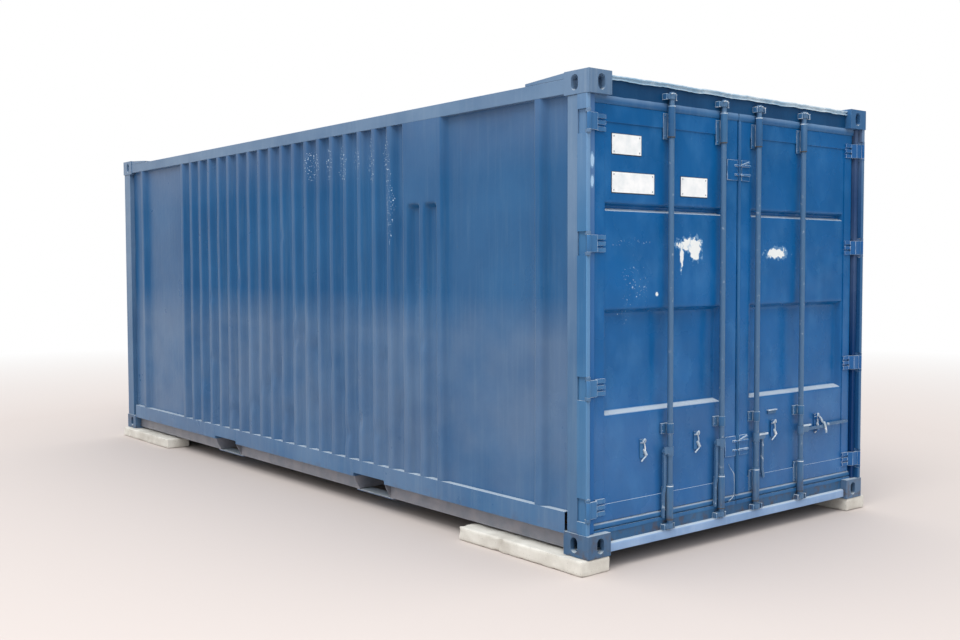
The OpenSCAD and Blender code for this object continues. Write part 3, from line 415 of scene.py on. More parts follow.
# The hinge straps are painted darker on the right half: painted shade
strap_paint = container_paint("hinge_enamel_blue", "#2f6293", "#3f72a0", "#7f9cb6", right="#1d5a95")
sleeve_paint = container_paint("rod_sleeve_enamel", "#2f5b86", "#3d6a92", "#7d93a6", haze=0.5, rust_low=0.16,
                               dust_and_sheen=((0.60, 0.20, 0.12, "#8f9698"),))
roof_paint = container_paint("roof_enamel_blue", "#2c5f8b", "#47749a", "#8fa3b3", haze=0.35, top_dust_and_light=0.22)
inner_paint = container_paint("inner_face_enamel", "#1f5582", "#28608d", "#5d7c96")
# Painted steel that hands rub bare, and the hot-dip zinc of the catches, brightened further as a painted
# highlight
gear_paint = worn_gear("painted_lock_gear", "#466b8f", "#8a9dae", 0.15, 0.15)
handle_paint = worn_gear("rubbed_handle_enamel", "#3f668c", "#b5c3cd", 0.20, 0.15)
catch_steel = worn_gear("galvanised_highlit_catch_steel", "#b3c4d2", "#f2f5f6", 0.45, 0.22)
# Paint over an edge wears first, so pale primer shows along it; the pale edge also paints the highlight an
# edge catches, brightest on the hinge straps
door_edge = worn_highlit_edge("worn_highlit_door_edge", "#5d8db8", "#c5d8e8")
strap_edge = worn_highlit_edge("worn_highlit_strap_edge", "#8db0ce", "#eef3f7")
frame_edge = worn_highlit_edge("worn_highlit_frame_edge", "#55779b", "#86a2bd")
gear_edge = worn_highlit_edge("worn_highlit_gear_edge", "#7f9fbc", "#dce6ee")
concrete = cast_concrete()
# Hardwood plywood floor: brown face veneer with its grain along the container
timber = plain_material("keruing_floor_ply", "#7a5a3c", "#4d3826", 0.008, 0.75, stretch=(40, 1, 1))
# Dark beds round the data plates, a painted shadow; their aluminium rivets; and dark rims at the lower ends
# of the sleeves, rust with painted shade
plate_shadow_paint = plain_material("painted_plate_shadow_bed", "#16283a", "#22394f", 0.02, 0.6)
rivet_grey = plain_material("aluminium_rivet", "#8b9198", "#a9afb4", 0.01, 0.4)
rim_rust_and_shade = plain_material("rusted_shaded_rim_steel", "#3a3e40", "#5f5448", 0.015, 0.7)
# Aluminium data plates under weathered white enamel
plate_white = plain_material("white_enamel_plate", "#f6f8f8", "#e2e8ea", 0.05, 0.45)

# Finish of each kind of node, and of its edges, which are worn and carry a painted highlight
FINISH = {
    "kerb_blocks": [concrete], "floor_boards": [timber], "side_wall": [side_paint],
    "front_wall": [side_paint], "roof_sheet": [roof_paint], "lock_rod": [gear_paint],
    "rod_fittings": [gear_paint, gear_edge], "rod_handle": [handle_paint, gear_edge],
    "door_header": [header_paint], "handle_catches": [catch_steel], "door_seal": [seal_paint],
    "top_castings": [cast_pale, frame_edge], "bottom_castings": [cast_dark, frame_edge],
    "door_posts": [post_paint], "header_lip": [door_paint], "sill_ledge": [ledge_paint],
    "door_sill": [sill_paint], "seam_bar": [seal_paint, door_edge], "bottom_rails": [rail_paint],
    "rail_bridges": [rail_paint], "fork_pockets": [rail_paint], "rod_guides": [sleeve_paint, gear_edge],
    "hinge_lugs": [frame_paint, frame_edge], "lock_keepers": [sleeve_paint, gear_edge],
    "hinge_straps": [strap_paint, strap_edge], "centre_plates": [door_paint, door_edge],
    "door_": [door_paint],
}


def finish_nodes():
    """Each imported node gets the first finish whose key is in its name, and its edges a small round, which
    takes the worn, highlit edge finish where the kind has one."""
    for name, obj in nodes.items():
        coats = next((coats for key, coats in FINISH.items() if key in name), [frame_paint])
        obj.data.materials.clear()
        for coat in coats:
            obj.data.materials.append(coat)
        weld = obj.modifiers.new("weld", "WELD")
        weld.merge_threshold = 0.00002
        round_off = obj.modifiers.new("soft_edges", "BEVEL")
        round_off.width = 0.0025
        round_off.material = len(coats) - 1
        round_off.segments = 2
        round_off.limit_method = "ANGLE"
        round_off.angle_limit = math.radians(35)


finish_nodes()


# Shapes, from whole arrays in millimetres

def ease(t, soft=0.25):
    """A clamp from 0 to 1 with both corners rounded: the difference of two ramps q, where q(t) is 0 below
    -soft, t above soft and (t + soft)^2 / (4 soft) between them."""
    def q(v):
        return np.where(v <= -soft, 0, np.where(v >= soft, v, (v + soft) ** 2 / (4 * soft)))
    return q(t) - q(t - 1)


def lumps(points, size, seed):
    """Smooth noise from about -1 to 1: a sum of sine waves about size long in seeded directions."""
    waves = 14
    draw = np.random.default_rng(seed)
    way = draw.normal(size=(waves, 3))
    way *= (2 * math.pi / size / np.linalg.norm(way, axis=1) * draw.uniform(0.6, 1.5, waves))[:, None]
    phase = draw.uniform(0, 2 * math.pi, waves)
    return np.sin(points @ way.T + phase).sum(-1) * math.sqrt(2 / waves) / 1.6


def places(*runs):
    """Sorted stations from runs of (low, high, step)."""
    stations = [np.linspace(a, b, max(2, round((b - a) / step) + 1)) for a, b, step in runs]
    return np.unique(np.concatenate(stations))


def make(name, shape, material, body, replaced=(), sharp=40):
    """One piece in place, from its vertices in millimetres and its faces, with its normals outward and its
    sharp edges kept."""
    verts, faces = shape
    mesh = bpy.data.meshes.new(name)
    mesh.from_pydata((np.asarray(verts) / 1000).tolist(), [], [list(f) for f in faces])
    work = bmesh.new()
    work.from_mesh(mesh)
    bmesh.ops.remove_doubles(work, verts=work.verts, dist=1e-6)
    bmesh.ops.recalc_face_normals(work, faces=work.faces)
    work.to_mesh(mesh)
    work.free()
    mesh.polygons.foreach_set("use_smooth", [True] * len(mesh.polygons))
    mesh.set_sharp_from_angle(angle=math.radians(sharp))
    mesh.materials.append(material)
    obj = bpy.data.objects.new(name, mesh)
    bpy.context.scene.collection.objects.link(obj)
    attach(obj, body)
    if replaced:
        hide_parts(*replaced)
    return obj


def joined(parts):
    """One shape from several."""
    verts, faces, start = [], [], 0
    for v, f in parts:
        verts.append(np.asarray(v, float))
        faces += [[i + start for i in q] for q in f]
        start += len(v)
    return np.concatenate(verts), faces


def raised(shape):
    """A shape whose z counts from the casting bottoms, set on the blocks."""
    verts, faces = shape
    return verts + np.array([0, 0, BLOCK_H]), faces


def quads(rows, cols):
    """Faces of a grid of points that is stored row by row, and the numbers of its points."""
    i = np.arange(rows * cols).reshape(rows, cols)
    return np.stack([i[:-1, :-1], i[:-1, 1:], i[1:, 1:], i[1:, :-1]], -1).reshape(-1, 4), i


def shell(front, back):
    """A closed skin between two grids of points: both faces and the rim that joins them."""
    rows, cols = front.shape[:2]
    a, i = quads(rows, cols)
    rim = np.concatenate([i[0], i[1:, -1], i[-1, -2::-1], i[-2:0:-1, 0]])
    after = np.roll(rim, -1)
    skip = rows * cols
    edge = np.stack([rim, rim + skip, after + skip, after], -1)
    faces = np.concatenate([a, a[:, ::-1] + skip, edge])
    return np.concatenate([front.reshape(-1, 3), back.reshape(-1, 3)]), faces.tolist()


def paint_inside(obj, front):
    """The inner paint on the back of a skin from shell, whose faces come in the order front, back, rim."""
    faces = (front.shape[0] - 1) * (front.shape[1] - 1)
    index = np.zeros(len(obj.data.polygons), int)
    index[faces:2 * faces] = 1
    obj.data.materials.append(inner_paint)
    obj.data.polygons.foreach_set("material_index", index)


def through(rings):
    """A closed bar through rings of points: faces from each ring to the next, and a cap on either end."""
    i = np.arange(rings.shape[0] * rings.shape[1]).reshape(rings.shape[:2])
    after = np.roll(i, -1, axis=1)
    faces = np.stack([i[:-1], after[:-1], after[1:], i[1:]], -1).reshape(-1, 4).tolist()
    return rings.reshape(-1, 3), faces + [i[0].tolist()[::-1], i[-1].tolist()]


def box(low, high):
    """Corners and faces of a box."""
    c = np.array([[(low, high)[k >> a & 1][a] for a in range(3)] for k in range(8)], float)
    return c, [[0, 1, 3, 2], [4, 5, 7, 6], [0, 1, 5, 4], [2, 3, 7, 6], [0, 2, 6, 4], [1, 3, 7, 5]]


def side_box(side, low, high):
    """A box whose y counts outwards from the middle plane."""
    near, far = sorted((side * low[1], side * high[1]))
    return box((low[0], near, low[2]), (high[0], far, high[2]))


def circle(sides):
    """Angles of the corners of a regular ring."""
    return np.arange(sides) * 2 * math.pi / sides


def dome(centre, radius, height, sides=10):
    """A rivet head on the door face: three rings and a tip."""
    turn = circle(sides)
    rings = [np.stack([np.full(sides, h * height), s * radius * np.cos(turn), s * radius * np.sin(turn)], -1)
             for h, s in ((0, 1), (0.6, 0.8), (0.95, 0.4))]
    verts = np.concatenate(rings + [[[height, 0, 0]]]) + np.array(centre)
    faces = []
    for k in range(sides):
        n = (k + 1) % sides
        faces += [[k, n, sides + n, sides + k], [sides + k, sides + n, 2 * sides + n, 2 * sides + k]]
        faces.append([2 * sides + k, 2 * sides + n, 3 * sides])
    return verts, faces


def tube(path, radius, sides=10):
    """A round bar along a path of points: at each point a ring stands square to the mean of the two
    neighbouring directions, in a frame that is carried along without twist."""
    way = np.gradient(path, axis=0)
    way /= np.linalg.norm(way, axis=1)[:, None]
    across = np.cross(way[0], [0.3, 0.5, 0.81])
    turn = circle(sides)[:, None]
    rings = []
    for p, d in zip(path, way):
        across = across - d * (across @ d)
        across /= np.linalg.norm(across)
        rings.append(p + radius * (np.cos(turn) * across + np.sin(turn) * np.cross(d, across)))
    return through(np.array(rings))


def rounded(points, radius):
    """A path whose corners are rounded: each corner becomes a quadratic curve between points that lie
    radius before and after it, or halfway to the next corner where that is nearer."""
    points = [np.array(p, float) for p in points]
    t = np.linspace(0, 1, 7)[:, None]
    out = [points[0]]
    for a, b, c in zip(points, points[1:], points[2:]):
        into = b + (a - b) / np.linalg.norm(a - b) * min(radius, np.linalg.norm(a - b) / 2)
        off = b + (c - b) / np.linalg.norm(c - b) * min(radius, np.linalg.norm(c - b) / 2)
        out += list((1 - t) ** 2 * into + 2 * t * (1 - t) * b + t ** 2 * off)
    return np.array(out + [points[-1]])


def strands(path, radius, step, count, thick):
    """A strap as round bars side by side, each one step beyond the last."""
    middle = rounded(path, radius)
    return joined([tube(middle + k * np.array(step), thick) for k in range(count)])


# How far from their borders the sheets of walls and doors are held flat
WALL_CALM = 120
PANEL_CALM = 90
# Dents on the photographed wall: x and z, radius and depth
DENTS = (
    (-874, 1600, 22, 9), (-1028, 1480, 26, 8), (-760, 1506, 22, 8), (-1238, 1315, 24, 9), (164, 1367, 22, 8),
    (134, 1112, 26, 10), (108, 1038, 24, 12), (323, 999, 28, 14), (-1236, 815, 26, 10), (-148, 851, 30, 14),
    (-202, 760, 34, 16), (702, 740, 30, 14), (-364, 672, 30, 12), (-875, 606, 34, 16), (-880, 430, 34, 18),
    (339, 629, 28, 12), (-29, 498, 28, 13), (21, 453, 26, 12), (1366, 727, 28, 12), (1346, 629, 26, 10),
    (783, 449, 30, 13), (1483, 1357, 30, 9), (943, 1352, 22, 7), (1623, 1101, 26, 8), (-311, 1693, 22, 7),
    (-75, 1774, 20, 6), (1341, 1812, 22, 8), (1321, 1728, 22, 7), (-1011, 1046, 24, 8), (695, 1634, 20, 6),
    (-733, 1426, 22, 7), (87, 1208, 22, 7), (372, 1120, 24, 8), (560, 905, 26, 9), (930, 560, 28, 11),
    (-560, 520, 28, 10), (-1400, 640, 26, 9), (1180, 980, 24, 8), (-520, 930, 24, 8), (1130, 500, 26, 10),
)
FAR_DENTS = tuple((-x * 0.9 + 60, z * 0.8 + 300, r, d * 0.6) for x, z, r, d in DENTS[::3])


def dented(x, z, dents):
    """Depth of dents at (x, z): each is depth times exp(-(distance / radius)^2 / 2), with distances along z
    taken 1.4 times shorter, so that a dent is taller than it is wide."""
    out = np.zeros(np.broadcast(x, z).shape)
    for at_x, at_z, radius, depth in dents:
        out += depth * np.exp(-((x - at_x) ** 2 + ((z - at_z) / 1.4) ** 2) / (2 * radius ** 2))
    return out


def side_wall(side, dents, step):
    """A ribbed sheet: its depth is WAVE_D times the eased distance from the nearest rib, and 0 on the flat
    panel. Wide fields are a little oil-canned."""
    xs = places((*WALL_X, 55), *[(r - 60, r + 60, 8) for r in RIBS])
    zs = places((WALL_Z[0], 430, 40), (430, 1300, step), (1300, WALL_Z[1], step * 1.6),
                (FLAT_Z - 36, FLAT_Z + 8, 6))
    x, z = np.meshgrid(xs, zs)
    recess = ease((np.abs(x[..., None] - RIBS).min(-1) - RIB_W / 2) / RIB_SLOPE)
    inside = (x > FLAT_X[0]) & (x < FLAT_X[1])
    lift = ease((z - FLAT_Z + RIB_SLOPE) / RIB_SLOPE, 0.3) * inside
    depth = WAVE_D * recess * (1 - lift)
    at = np.stack([x, 0 * x, z], -1)
    calm = np.minimum(ease((z - WALL_Z[0]) / WALL_CALM), ease((WALL_Z[1] - z) / WALL_CALM))
    depth = depth + calm * (1.5 * lumps(at, 900, 4 + side) + 0.9 * lumps(at, 300, 9 + side) + 2.0)
    depth = depth + calm * dented(x, z, dents)
    front = np.stack([x, side * (SKIN_Y - depth), z], -1)
    back = np.stack([x, side * (SKIN_Y - depth - SHEET_T), z], -1)
    name = f"side_wall_{SIDES[side]}"
    wall = make("ribbed_" + name, shell(front, back), side_paint, "container", [name])
    paint_inside(wall, front)


side_wall(-1, DENTS, 19)
side_wall(1, FAR_DENTS, 40)


def fine_near(borders, slope):
    """Close stations where the slopes of a tray begin and end."""
    low, high = borders
    return [(low - 4, low + slope + 4, 3), (high - slope - 4, high + 4, 3)]


def door_panel(side):
    """A pressed sheet between the members of a leaf: the depth of a tray is TRAY_D times the least of four
    eased slopes, the flat fields are a little oil-canned, and the sheet is flat round the data plates."""
    ys = places((*PANEL_Y, 26), *[run for y, _, slope in TRAYS for run in fine_near(y, slope)])
    zs = places((*PANEL_Z, 26), *[run for _, z, slope in TRAYS for run in fine_near(z, slope)])
    y, z = np.meshgrid(ys, zs)
    depth = np.zeros(y.shape)
    for (y0, y1), (z0, z1), slope in TRAYS:
        walls = [ease(v / slope) for v in (y - y0, y1 - y, z - z0, z1 - z)]
        depth = np.maximum(depth, TRAY_D * np.minimum.reduce(walls))
    at = np.stack([0 * y, side * y, z], -1)
    borders = (y - PANEL_Y[0], PANEL_Y[1] - y, z - PANEL_Z[0], PANEL_Z[1] - z)
    calm = np.minimum.reduce([ease(v / PANEL_CALM) for v in borders])
    for (y0, y1), (z0, z1) in PLATES if side < 0 else ():
        away = np.maximum(np.maximum(-y1 - y, y + y0), np.maximum(z0 - z, z - z1))
        calm = np.minimum(calm, ease((away - 12) / 60))
    depth = depth + calm * (1.6 * lumps(at, 700, 21 + side) + 0.7 * lumps(at, 240, 31 + side) + 2.0)
    front = np.stack([PANEL_X - depth, side * y, z], -1)
    name = SIDES[side]
    panel = make(f"pressed_panel_{name}", shell(front, front - np.array([SHEET_T, 0, 0])), door_paint,
                 f"door_{name}", [f"{name}_door_panel"])
    paint_inside(panel, front)


door_panel(-1)
door_panel(1)

# The kerb blocks: x and y from the middle, the round of their edges, how deep chips and all wear go, and the
# gap that keeps them off the ground
BLOCK_X = (2029, HALF_L)
BLOCK_Y = (1062, 1262)
BLOCK_ROUND = 9
BLOCK_CHIP = 9
BLOCK_WEAR = 8.5
GROUND_GAP = 0.2


def kerb_block(low, high, seed):
    """A worn block: each face is a grid, a point beyond the inner box is drawn back to a round, and the
    whole is eaten inwards by lumps, deeper where a chip is."""
    low, high = np.array(low, float), np.array(high, float)
    parts = []
    for axis in range(3):
        u, v = [k for k in range(3) if k != axis]
        gu, gv = np.meshgrid(places((low[u], high[u], 16)), places((low[v], high[v], 12)))
        for end in (low[axis], high[axis]):
            p = np.zeros(gu.shape + (3,))
            p[..., axis], p[..., u], p[..., v] = end, gu, gv
            parts.append((p.reshape(-1, 3), quads(*gu.shape)[0].tolist()))
    p, faces = joined(parts)
    core = np.clip(p, low + BLOCK_ROUND, high - BLOCK_ROUND)
    out = p - core
    out /= np.linalg.norm(out, axis=1)[:, None]
    chips = np.clip(lumps(p, 110, seed + 1) - 0.75, 0, 1)
    eaten = 1.6 + 1.4 * lumps(p, 160, seed) + BLOCK_CHIP * chips
    p = core + out * (BLOCK_ROUND - np.clip(eaten, 0, BLOCK_WEAR))[:, None]
    p[:, 2] = np.maximum(p[:, 2], low[2] + GROUND_GAP)
    return p, faces


def kerb_blocks():
    """The four blocks, one under each corner."""
    parts = []
    for k, (sx, sy) in enumerate(((1, -1), (1, 1), (-1, -1), (-1, 1))):
        x0, x1 = sorted(sx * x for x in BLOCK_X)
        y0, y1 = sorted(sy * y for y in BLOCK_Y)
        parts.append(kerb_block((x0, y0, 0), (x1, y1, BLOCK_H), 40 + 5 * k))
    make("worn_kerb_blocks", joined(parts), concrete, "container", ["kerb_blocks"], 60)


kerb_blocks()

# Section of the lip over the doors, from the roof to the free edge: x, z above the casting bottoms, and how
# far each point follows the dents
LIP_SECTION = (
    (2958, 2426, 0), (2980, 2426.5, 0.3), (2996, 2427.5, 0.8), (3002, 2425.5, 1), (3003.5, 2420, 1),
    (2997, 2416, 1), (2995, 2411, 1), (2997, 2407, 1), (3003, 2405, 1), (3003.5, 2400, 1),
)
LIP_HALF = 1057
LIP_T = 2
# The hem lies below this height. It was knocked in at two places: y, width and share of the depth
HEM_Z = 2419
KNOCKS = ((-960, 60, 1.0), (-640, 50, 0.7))
KNOCK_D = 4


def header_lip():
    """The folded lip over the doors: a bent strip whose hem waves up and down by a few millimetres and has
    two knocks, each a bell along y."""
    section = np.array(LIP_SECTION)
    y, k = np.meshgrid(places((-LIP_HALF, LIP_HALF, 12)), np.arange(len(section)), indexing="ij")
    free = section[k, 2]
    at = np.stack([y, 0 * y, 0 * y], -1)
    wave = 1.8 * lumps(at, 330, 3) + 1.2 * lumps(at, 110, 5) + 1.0 * lumps(at, 45, 6)
    knock = sum(share * np.exp(-((y - middle) / width) ** 2) for middle, width, share in KNOCKS)
    hem = (section[k, 1] < HEM_Z) * free
    z = section[k, 1] + np.minimum(free * wave, 2.5) + hem * knock * KNOCK_D
    x = section[k, 0] - free * knock * KNOCK_D + hem * (1.5 * lumps(at, 140, 8) - 1.5)
    front = np.stack([x, y, z + BLOCK_H], -1)
    slope = np.gradient(section[:, :2], axis=0)
    inward = np.stack([slope[:, 1], -slope[:, 0]], -1) / np.linalg.norm(slope, axis=1)[:, None]
    back = front + LIP_T * np.stack([inward[k, 0], 0 * y, inward[k, 1]], -1)
    make("dented_lip", shell(front, back), lip_paint, "container", ["header_lip"])


header_lip()

# The lock gear, with z above the casting bottoms from here on: the rods, how far a leaf's rods are from the
# middle plane and a catch is from its rod, and the face of the doors
ROD_Y = {1: -589, 2: -157, 3: 157, 4: 589}
ROD_X = 3009
RODS_OUT = (589, 157)
CATCH_OUT = 190
DOOR_X = 2983
# What hangs on a catch: the path of each bar with y from the catch, the round of its corners and its radius.
# They are a hook loop, a link, the lump of a swung lug and the tongue behind it
CHAIN = (
    (((2982, -9, 542), (3000, -9, 546), (3003, -5, 563), (3003, 6, 563), (3000, 9, 546), (2982, 9, 542)),
     7, 4),
    (((2986, 2, 552), (2991, 11, 538), (2991, 15, 520), (2988, 20, 506)), 8, 3.8),
    (((2985, 12, 506), (2986, 20, 490), (2986, 30, 474)), 8, 8.5),
    (((2987, 26, 468), (2988, 6, 456), (2987, -8, 444)), 8, 3.8),
)
# The two halves of the hasp strap: on the catch, with y from it, and on the stowed handle
HASP = ((2988, -14, 556), (2989, 12, 552), (2989, 44, 540), (2989, 62, 504))
HASP_TAIL = ((3010.5, 828, 508), (3011, 838, 486), (3011, 850, 452), (3010, 854, 438))
# Strips of the seal: low and high edge, points across, whether its front is round, and which edge is free
SEAL_STRIPS = ((110, 130, 3, 0, -1), (2282, 2327, 9, 1, 1))
# Bolts on the foot plates of a sleeve: how far they are from the rod, and their heights
BOLTS = ((26, (190, 278)), (30, (2150, 2255)), (36, (588, 618)))
# Rims of the sleeves: hole, radius, half height and sides
RIM_HOLE = 15.6
RIM_RADIUS = 19.95
RIM_HALF = 2.5
RIM_SIDES = 20


def seal_covers(side):
    """The rubber that shows along sill and header: under the lower roll a thin upright lip with a slow wave,
    and over the upper one a flattened half round, whose front follows a circle."""
    name = SIDES[side]
    ys = places((3, 1146, 24))
    parts = []
    for low, high, rows, round_front, free in SEAL_STRIPS:
        y, k = np.meshgrid(ys, np.linspace(-1, 1, rows), indexing="ij")
        at = np.stack([side * y, 0 * y, 0 * y + low], -1)
        z = BLOCK_H + (low + high) / 2 + k * (high - low) / 2 + 1.5 * lumps(at, 260, 60) * (k == free)
        x = 2990.6 + 0.4 * lumps(at, 120, 61) - 7 * round_front * (1 - np.sqrt(1 - 0.98 * k ** 2))
        front = np.stack([x, side * y, z], -1)
        parts.append(shell(front, front - np.array([2, 0, 0])))
    make(f"seal_covers_{name}", joined(parts), seal_paint, f"door_{name}")


def handle_catches(side):
    """The two catches of a leaf: painted plates with bright chains, zinc with a painted highlight. The outer
    one on the right has ears, the shelf under the stowed handle, and the upper half of a hasp strap that
    bends over towards it."""
    name = SIDES[side]
    ys = [side * (rod + CATCH_OUT) for rod in RODS_OUT]
    plates = [box((DOOR_X - 6, y - 13, 462), (DOOR_X, y + 13, 560)) for y in ys]
    chains = [tube(rounded(np.array(path) + [0, y, 0], radius), thick)
              for y in ys for path, radius, thick in CHAIN]
    if side > 0:
        y = max(ys)
        plates.append(box((DOOR_X, y - 12, 458), (3006, y + 12, 465.5)))
        plates += [box((DOOR_X, y + ear, 530), (3004, y + ear + 3, 562)) for ear in (-12, 9)]
        chains.append(strands(np.array(HASP) + [0, y, 0], 16, (0, 5.5, -4), 4, 4))
    make(f"catch_plates_{name}", raised(joined(plates)), strap_paint, f"door_{name}",
         [f"{name}_handle_catches"])
    make(f"catch_chains_{name}", raised(joined(chains)), catch_steel, f"door_{name}")


def bolts(side):
    """Round bolt heads on the foot plates of the sleeves, four on each."""
    spots = [(rod + s * out, z) for rod in RODS_OUT for out, levels in BOLTS
             for s in (-1, 1) for z in levels]
    parts = [dome((DOOR_X + 6, side * y, z + BLOCK_H), 5, 3.5, 8) for y, z in spots]
    name = SIDES[side]
    make(f"sleeve_bolts_{name}", joined(parts), door_paint, f"door_{name}")


def rim(y, middle):
    """A collar round a rod: a rectangle between two radii and two heights, turned about the rod."""
    turn = circle(RIM_SIDES)
    low, high = middle - RIM_HALF, middle + RIM_HALF
    rows = ((RIM_HOLE, low), (RIM_RADIUS, low), (RIM_RADIUS, high), (RIM_HOLE, high))
    verts = [[ROD_X + r * c, y + r * d, z] for r, z in rows for c, d in zip(np.cos(turn), np.sin(turn))]
    i = np.arange(len(verts)).reshape(len(rows), -1)
    after = np.roll(i, -1, axis=1)
    faces = np.stack([i, after, np.roll(after, -1, axis=0), np.roll(i, -1, axis=0)], -1)
    return np.array(verts), faces.reshape(-1, 4).tolist()


def sleeve_rims(side):
    """Rims at both ends of the lower and upper sleeves: pale above, a painted highlight, and dark below,
    rust with painted shade.
    """
    name = SIDES[side]
    for tone, material, levels in (("pale", gear_edge, (293, 2306)), ("rusty_shaded", rim_rust_and_shade, (113, 2146))):
        parts = [rim(side * rod, z) for rod in RODS_OUT for z in levels]
        make(f"{tone}_sleeve_rims_{name}", raised(joined(parts)), material, f"door_{name}")


for side in SIDES:
    seal_covers(side)
    handle_catches(side)
    bolts(side)
    sleeve_rims(side)

# The lower half of the hasp strap lies over the stowed handle and lifts with it
make("hasp_tail", raised(strands(HASP_TAIL, 8, (0, 5, 1), 3, 3.2)), catch_steel, "handle_4")

# Pale bars on the hub arms of the right rods, painted highlights along them: y and the height of the middle
for n, (y0, y1), z in ((3, (178, 262), 494), (4, (610, 690), 505)):
    bar = box((3007.5, y0, z - 5), (3016, y1, z + 5))
    make(f"hub_highlight_bar_{n}", raised(bar), catch_steel, f"rod_{n}")

# A small angle over the inner catch of the right door, whose lip is pale: rubbed, and a painted highlight on
# its lit top
for name, low, high, paint in (("door_angle", (2972, 306, 600), (2981, 383, 618), sleeve_paint),
                               ("door_angle_highlit_lip", (2972, 304, 618), (2988, 385, 624), gear_edge)):
    make(name, raised(box(low, high)), paint, "door_right")

# The plate that doubles the inset band of each door post below a joint under the upper hinge
for side, name in SIDES.items():
    doubler = side_box(side, (2949, 1181, BLOCK_H + 215), (2999, 1185, BLOCK_H + 2055))
    make(f"post_doubler_{name}", doubler, frame_paint, "container")

# The outer flange of each door post: its back, both faces, the round of its front corners, and its ends
FLANGE_BACK = 2945
FLANGE_Y = (1190, 1217)
FLANGE_ROUND = 5
FLANGE_Z = (BLOCK_H + 118.5, BLOCK_H + 2319.5)
# The lower plate of the flange behind each strap: its front and both faces
RECESS_X = 2998
RECESS_Y = (1183, 1205)


def post_flange(side, front, paint):
    """A thick bar whose front corners follow circles. It runs forward between the hinges towards the face of
    the castings, and a lower plate stands behind each strap."""
    turn = np.linspace(0, math.pi / 2, 6)
    middle, near, far = front - FLANGE_ROUND, FLANGE_Y[0] + FLANGE_ROUND, FLANGE_Y[1] - FLANGE_ROUND
    outline = [(middle + FLANGE_ROUND * math.sin(a), near - FLANGE_ROUND * math.cos(a)) for a in turn]
    outline += [(middle + FLANGE_ROUND * math.cos(a), far + FLANGE_ROUND * math.sin(a)) for a in turn]
    outline = [(FLANGE_BACK, FLANGE_Y[0])] + outline + [(FLANGE_BACK, FLANGE_Y[1])]
    stops = [FLANGE_Z[0]] + [z + s * HINGE_HALF for z in HINGE_Z for s in (-1, 1)] + [FLANGE_Z[1]]
    parts = [through(np.array([[(x, side * y, z) for x, y in outline] for z in ends]))
             for ends in zip(stops[::2], stops[1::2])]
    for z in HINGE_Z:
        low, high = z - HINGE_HALF, z + HINGE_HALF
        parts.append(side_box(side, (FLANGE_BACK, RECESS_Y[0], low), (RECESS_X, RECESS_Y[1], high)))
    make(f"post_flange_{SIDES[side]}", joined(parts), paint, "container")


# The right flange reaches further forward
post_flange(-1, 3013, left_flange_paint)
post_flange(1, 3025, right_flange_paint)

# The small butterfly ears on the cams at the top of each rod, pale with a painted highlight
for n, y in ROD_Y.items():
    paths = [((ROD_X + 16, y, 2368), (ROD_X + 17, y + k * 9, 2374), (ROD_X + 14, y + k * 20, 2368))
             for k in (-1, 1)]
    ears = joined([tube(rounded(path, 5), 2.6, 8) for path in paths])
    make(f"cam_ears_{n}", raised(ears), gear_edge, f"rod_{n}")

# A thin iron wire bent from the lower centre plate down to the sill side of the left leaf
WIRE = (
    (2986, -62, 345), (2992, -52, 318), (2996, -26, 292), (2996, -22, 200), (2995, -26, 158),
    (2986, -60, 134),
)
make("hung_wire", raised(tube(rounded(WIRE, 18), 1.6, 8)), gear_edge, "door_left")

# Section of the ledge along the sill: x, z, the round of its worn edge, and how far its top falls to it
LEDGE_X = (2983, 3009)
LEDGE_Z = (12, 60)
LEDGE_ROUND = 12
LEDGE_FALL = 1
LEDGE_HALF = 1056


def rounded_ledge():
    """The step along the sill, whose upper front edge is worn to a wide round: a profile of x and z drawn
    across the width, a little bowed and dinted."""
    arc = np.linspace(0, math.pi / 2, 7)
    x, z = LEDGE_X[1] - LEDGE_ROUND, LEDGE_Z[1] - LEDGE_FALL - LEDGE_ROUND
    profile = [(LEDGE_X[0], LEDGE_Z[0]), (LEDGE_X[1], LEDGE_Z[0])]
    profile += [(x + LEDGE_ROUND * math.cos(a), z + LEDGE_ROUND * math.sin(a)) for a in arc]
    section = np.array(profile + [(LEDGE_X[0], LEDGE_Z[1])])
    y, k = np.meshgrid(places((-LEDGE_HALF, LEDGE_HALF, 14)), np.arange(len(section)), indexing="ij")
    x, z = section[k, 0], section[k, 1]
    dint = (x > 2990) * (0.5 * lumps(np.stack([y, 0 * y, z], -1), 160, 71) - 0.6)
    rings = np.stack([x + dint, y, z + BLOCK_H - 0.4 * (z > 40)], -1)
    make("worn_ledge", through(rings), ledge_paint, "container", ["sill_ledge"])


rounded_ledge()


def data_plates():
    """Three bare plates on the left door, each on a dark bed that paints its shadow, and with a rivet at
    every corner.
    """
    back, face = PANEL_X - 1.2, PANEL_X + 2.5
    plates, beds, rivets = [], [], []
    for (y0, y1), (z0, z1) in PLATES:
        plates.append(box((back, y0, z0), (face, y1, z1)))
        beds.append(box((back, y0 - 4, z0 - 5), (PANEL_X + 0.8, y1 + 4, z1 + 3)))
        rivets += [dome((face, y, z), 4.5, 2.5) for y in (y0 + 13, y1 - 13) for z in (z0 + 12, z1 - 12)]
    for name, parts, material in (("bare_data_plates", plates, plate_white),
                                  ("painted_plate_shadow", beds, plate_shadow_paint), ("plate_rivets", rivets, rivet_grey)):
        make(name, joined(parts), material, "door_left")


data_plates()


# Lights and ground

# Strength of the soft light at the horizon and overhead, and of the backdrop that gloss mirrors
LOW_LIGHT = 0.75
TOP_LIGHT = 1.9
BACKDROP = (0.19, 1.0)
# The backdrop stands beyond the front of the container
BACKDROP_SIDE = (-0.91, -0.41, 0.0)


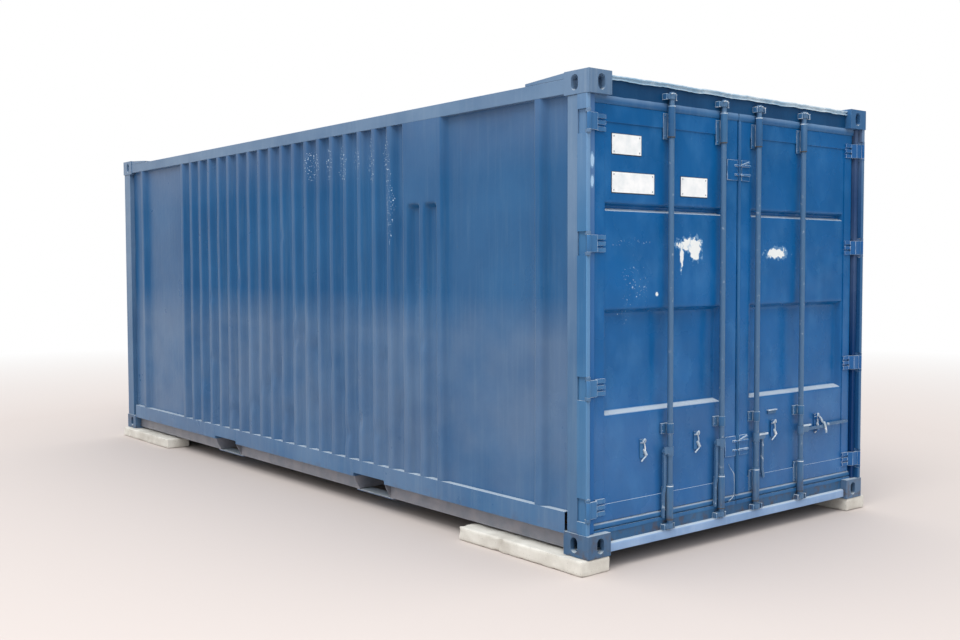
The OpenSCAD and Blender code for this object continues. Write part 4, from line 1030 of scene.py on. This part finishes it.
def add_stage():
    """A wide pale floor under the blocks that fades into the white background."""
    s = 60.0
    mesh = bpy.data.meshes.new("ground")
    mesh.from_pydata([(-s, -s, 0), (s, -s, 0), (s, s, 0), (-s, s, 0)], [], [(0, 1, 2, 3)])
    ground = bpy.data.objects.new("ground", mesh)
    bpy.context.scene.collection.objects.link(ground)
    m, tree, shader, place = new_material("pale_ground")
    surface(tree, shader, srgb("#c5bbb5"), 0.9)
    far = add(tree, "VectorMath", {"operation": "LENGTH"}, {0: (place, "Object")})
    glow = add(tree, "Emission", {"Color": srgb("#ffffff"), "Strength": 1.0})
    seen = add(tree, "LightPath")
    eye = calc(tree, "MAXIMUM", (seen, "Is Camera Ray"), (seen, "Is Glossy Ray"))
    share = calc(tree, "MULTIPLY", ramp(tree, (far, "Value"), 5.0, 14.0), eye)
    both = add(tree, "MixShader", None, {0: share, 1: (shader, 0), 2: (glow, 0)})
    out = next(n for n in tree.nodes if n.type == "OUTPUT_MATERIAL")
    tree.links.new(both.outputs[0], out.inputs[0])
    mesh.materials.append(m)


def add_sky():
    """A soft room, brighter overhead than low down. The camera sees a white backdrop, and gloss mirrors one
    that is white beyond the front of the container and dim on the other side."""
    world = bpy.data.worlds.new("soft_room")
    bpy.context.scene.world = world
    world.use_nodes = True
    tree = world.node_tree
    tree.nodes.clear()
    out = add(tree, "OutputWorld")
    place = add(tree, "TexCoord")
    up = add(tree, "SeparateXYZ", None, {0: (place, "Generated")})
    level = ramp(tree, (up, 2), 0.05, 0.9, LOW_LIGHT, TOP_LIGHT)
    soft = add(tree, "Background", {"Color": srgb("#f6f8fb")}, {"Strength": level})
    way = add(tree, "VectorMath", {"operation": "DOT_PRODUCT", 1: BACKDROP_SIDE}, {0: (place, "Generated")})
    pale = ramp(tree, (way, "Value"), 0.2, 0.9, *BACKDROP)
    mirrored = add(tree, "Background", {"Color": srgb("#fff6ea")}, {"Strength": pale})
    seen = add(tree, "Background", {"Color": srgb("#ffffff"), "Strength": 1.0})
    path = add(tree, "LightPath")
    gloss = calc(tree, "MAXIMUM", (path, "Is Glossy Ray"), (path, "Is Transmission Ray"))
    lit = add(tree, "MixShader", None, {0: gloss, 1: (soft, 0), 2: (mirrored, 0)})
    both = add(tree, "MixShader", None, {0: (path, "Is Camera Ray"), 1: (lit, 0), 2: (seen, 0)})
    tree.links.new(both.outputs[0], out.inputs[0])


def add_lamp(name, place, aim, size, power):
    """A round soft light at a place, turned towards an aim."""
    data = bpy.data.lights.new(name, "AREA")
    data.shape = "DISK"
    data.size = size
    data.energy = power
    lamp = bpy.data.objects.new(name, data)
    lamp.location = place
    lamp.rotation_mode = "QUATERNION"
    lamp.rotation_quaternion = (Vector(aim) - Vector(place)).to_track_quat("-Z", "Y")
    bpy.context.scene.collection.objects.link(lamp)


add_stage()
add_sky()
add_lamp("key_light", (5.0, -6.0, 11.0), (0.5, 0, 1.2), 7.0, 600)
bpy.context.scene.view_settings.view_transform = "Standard"
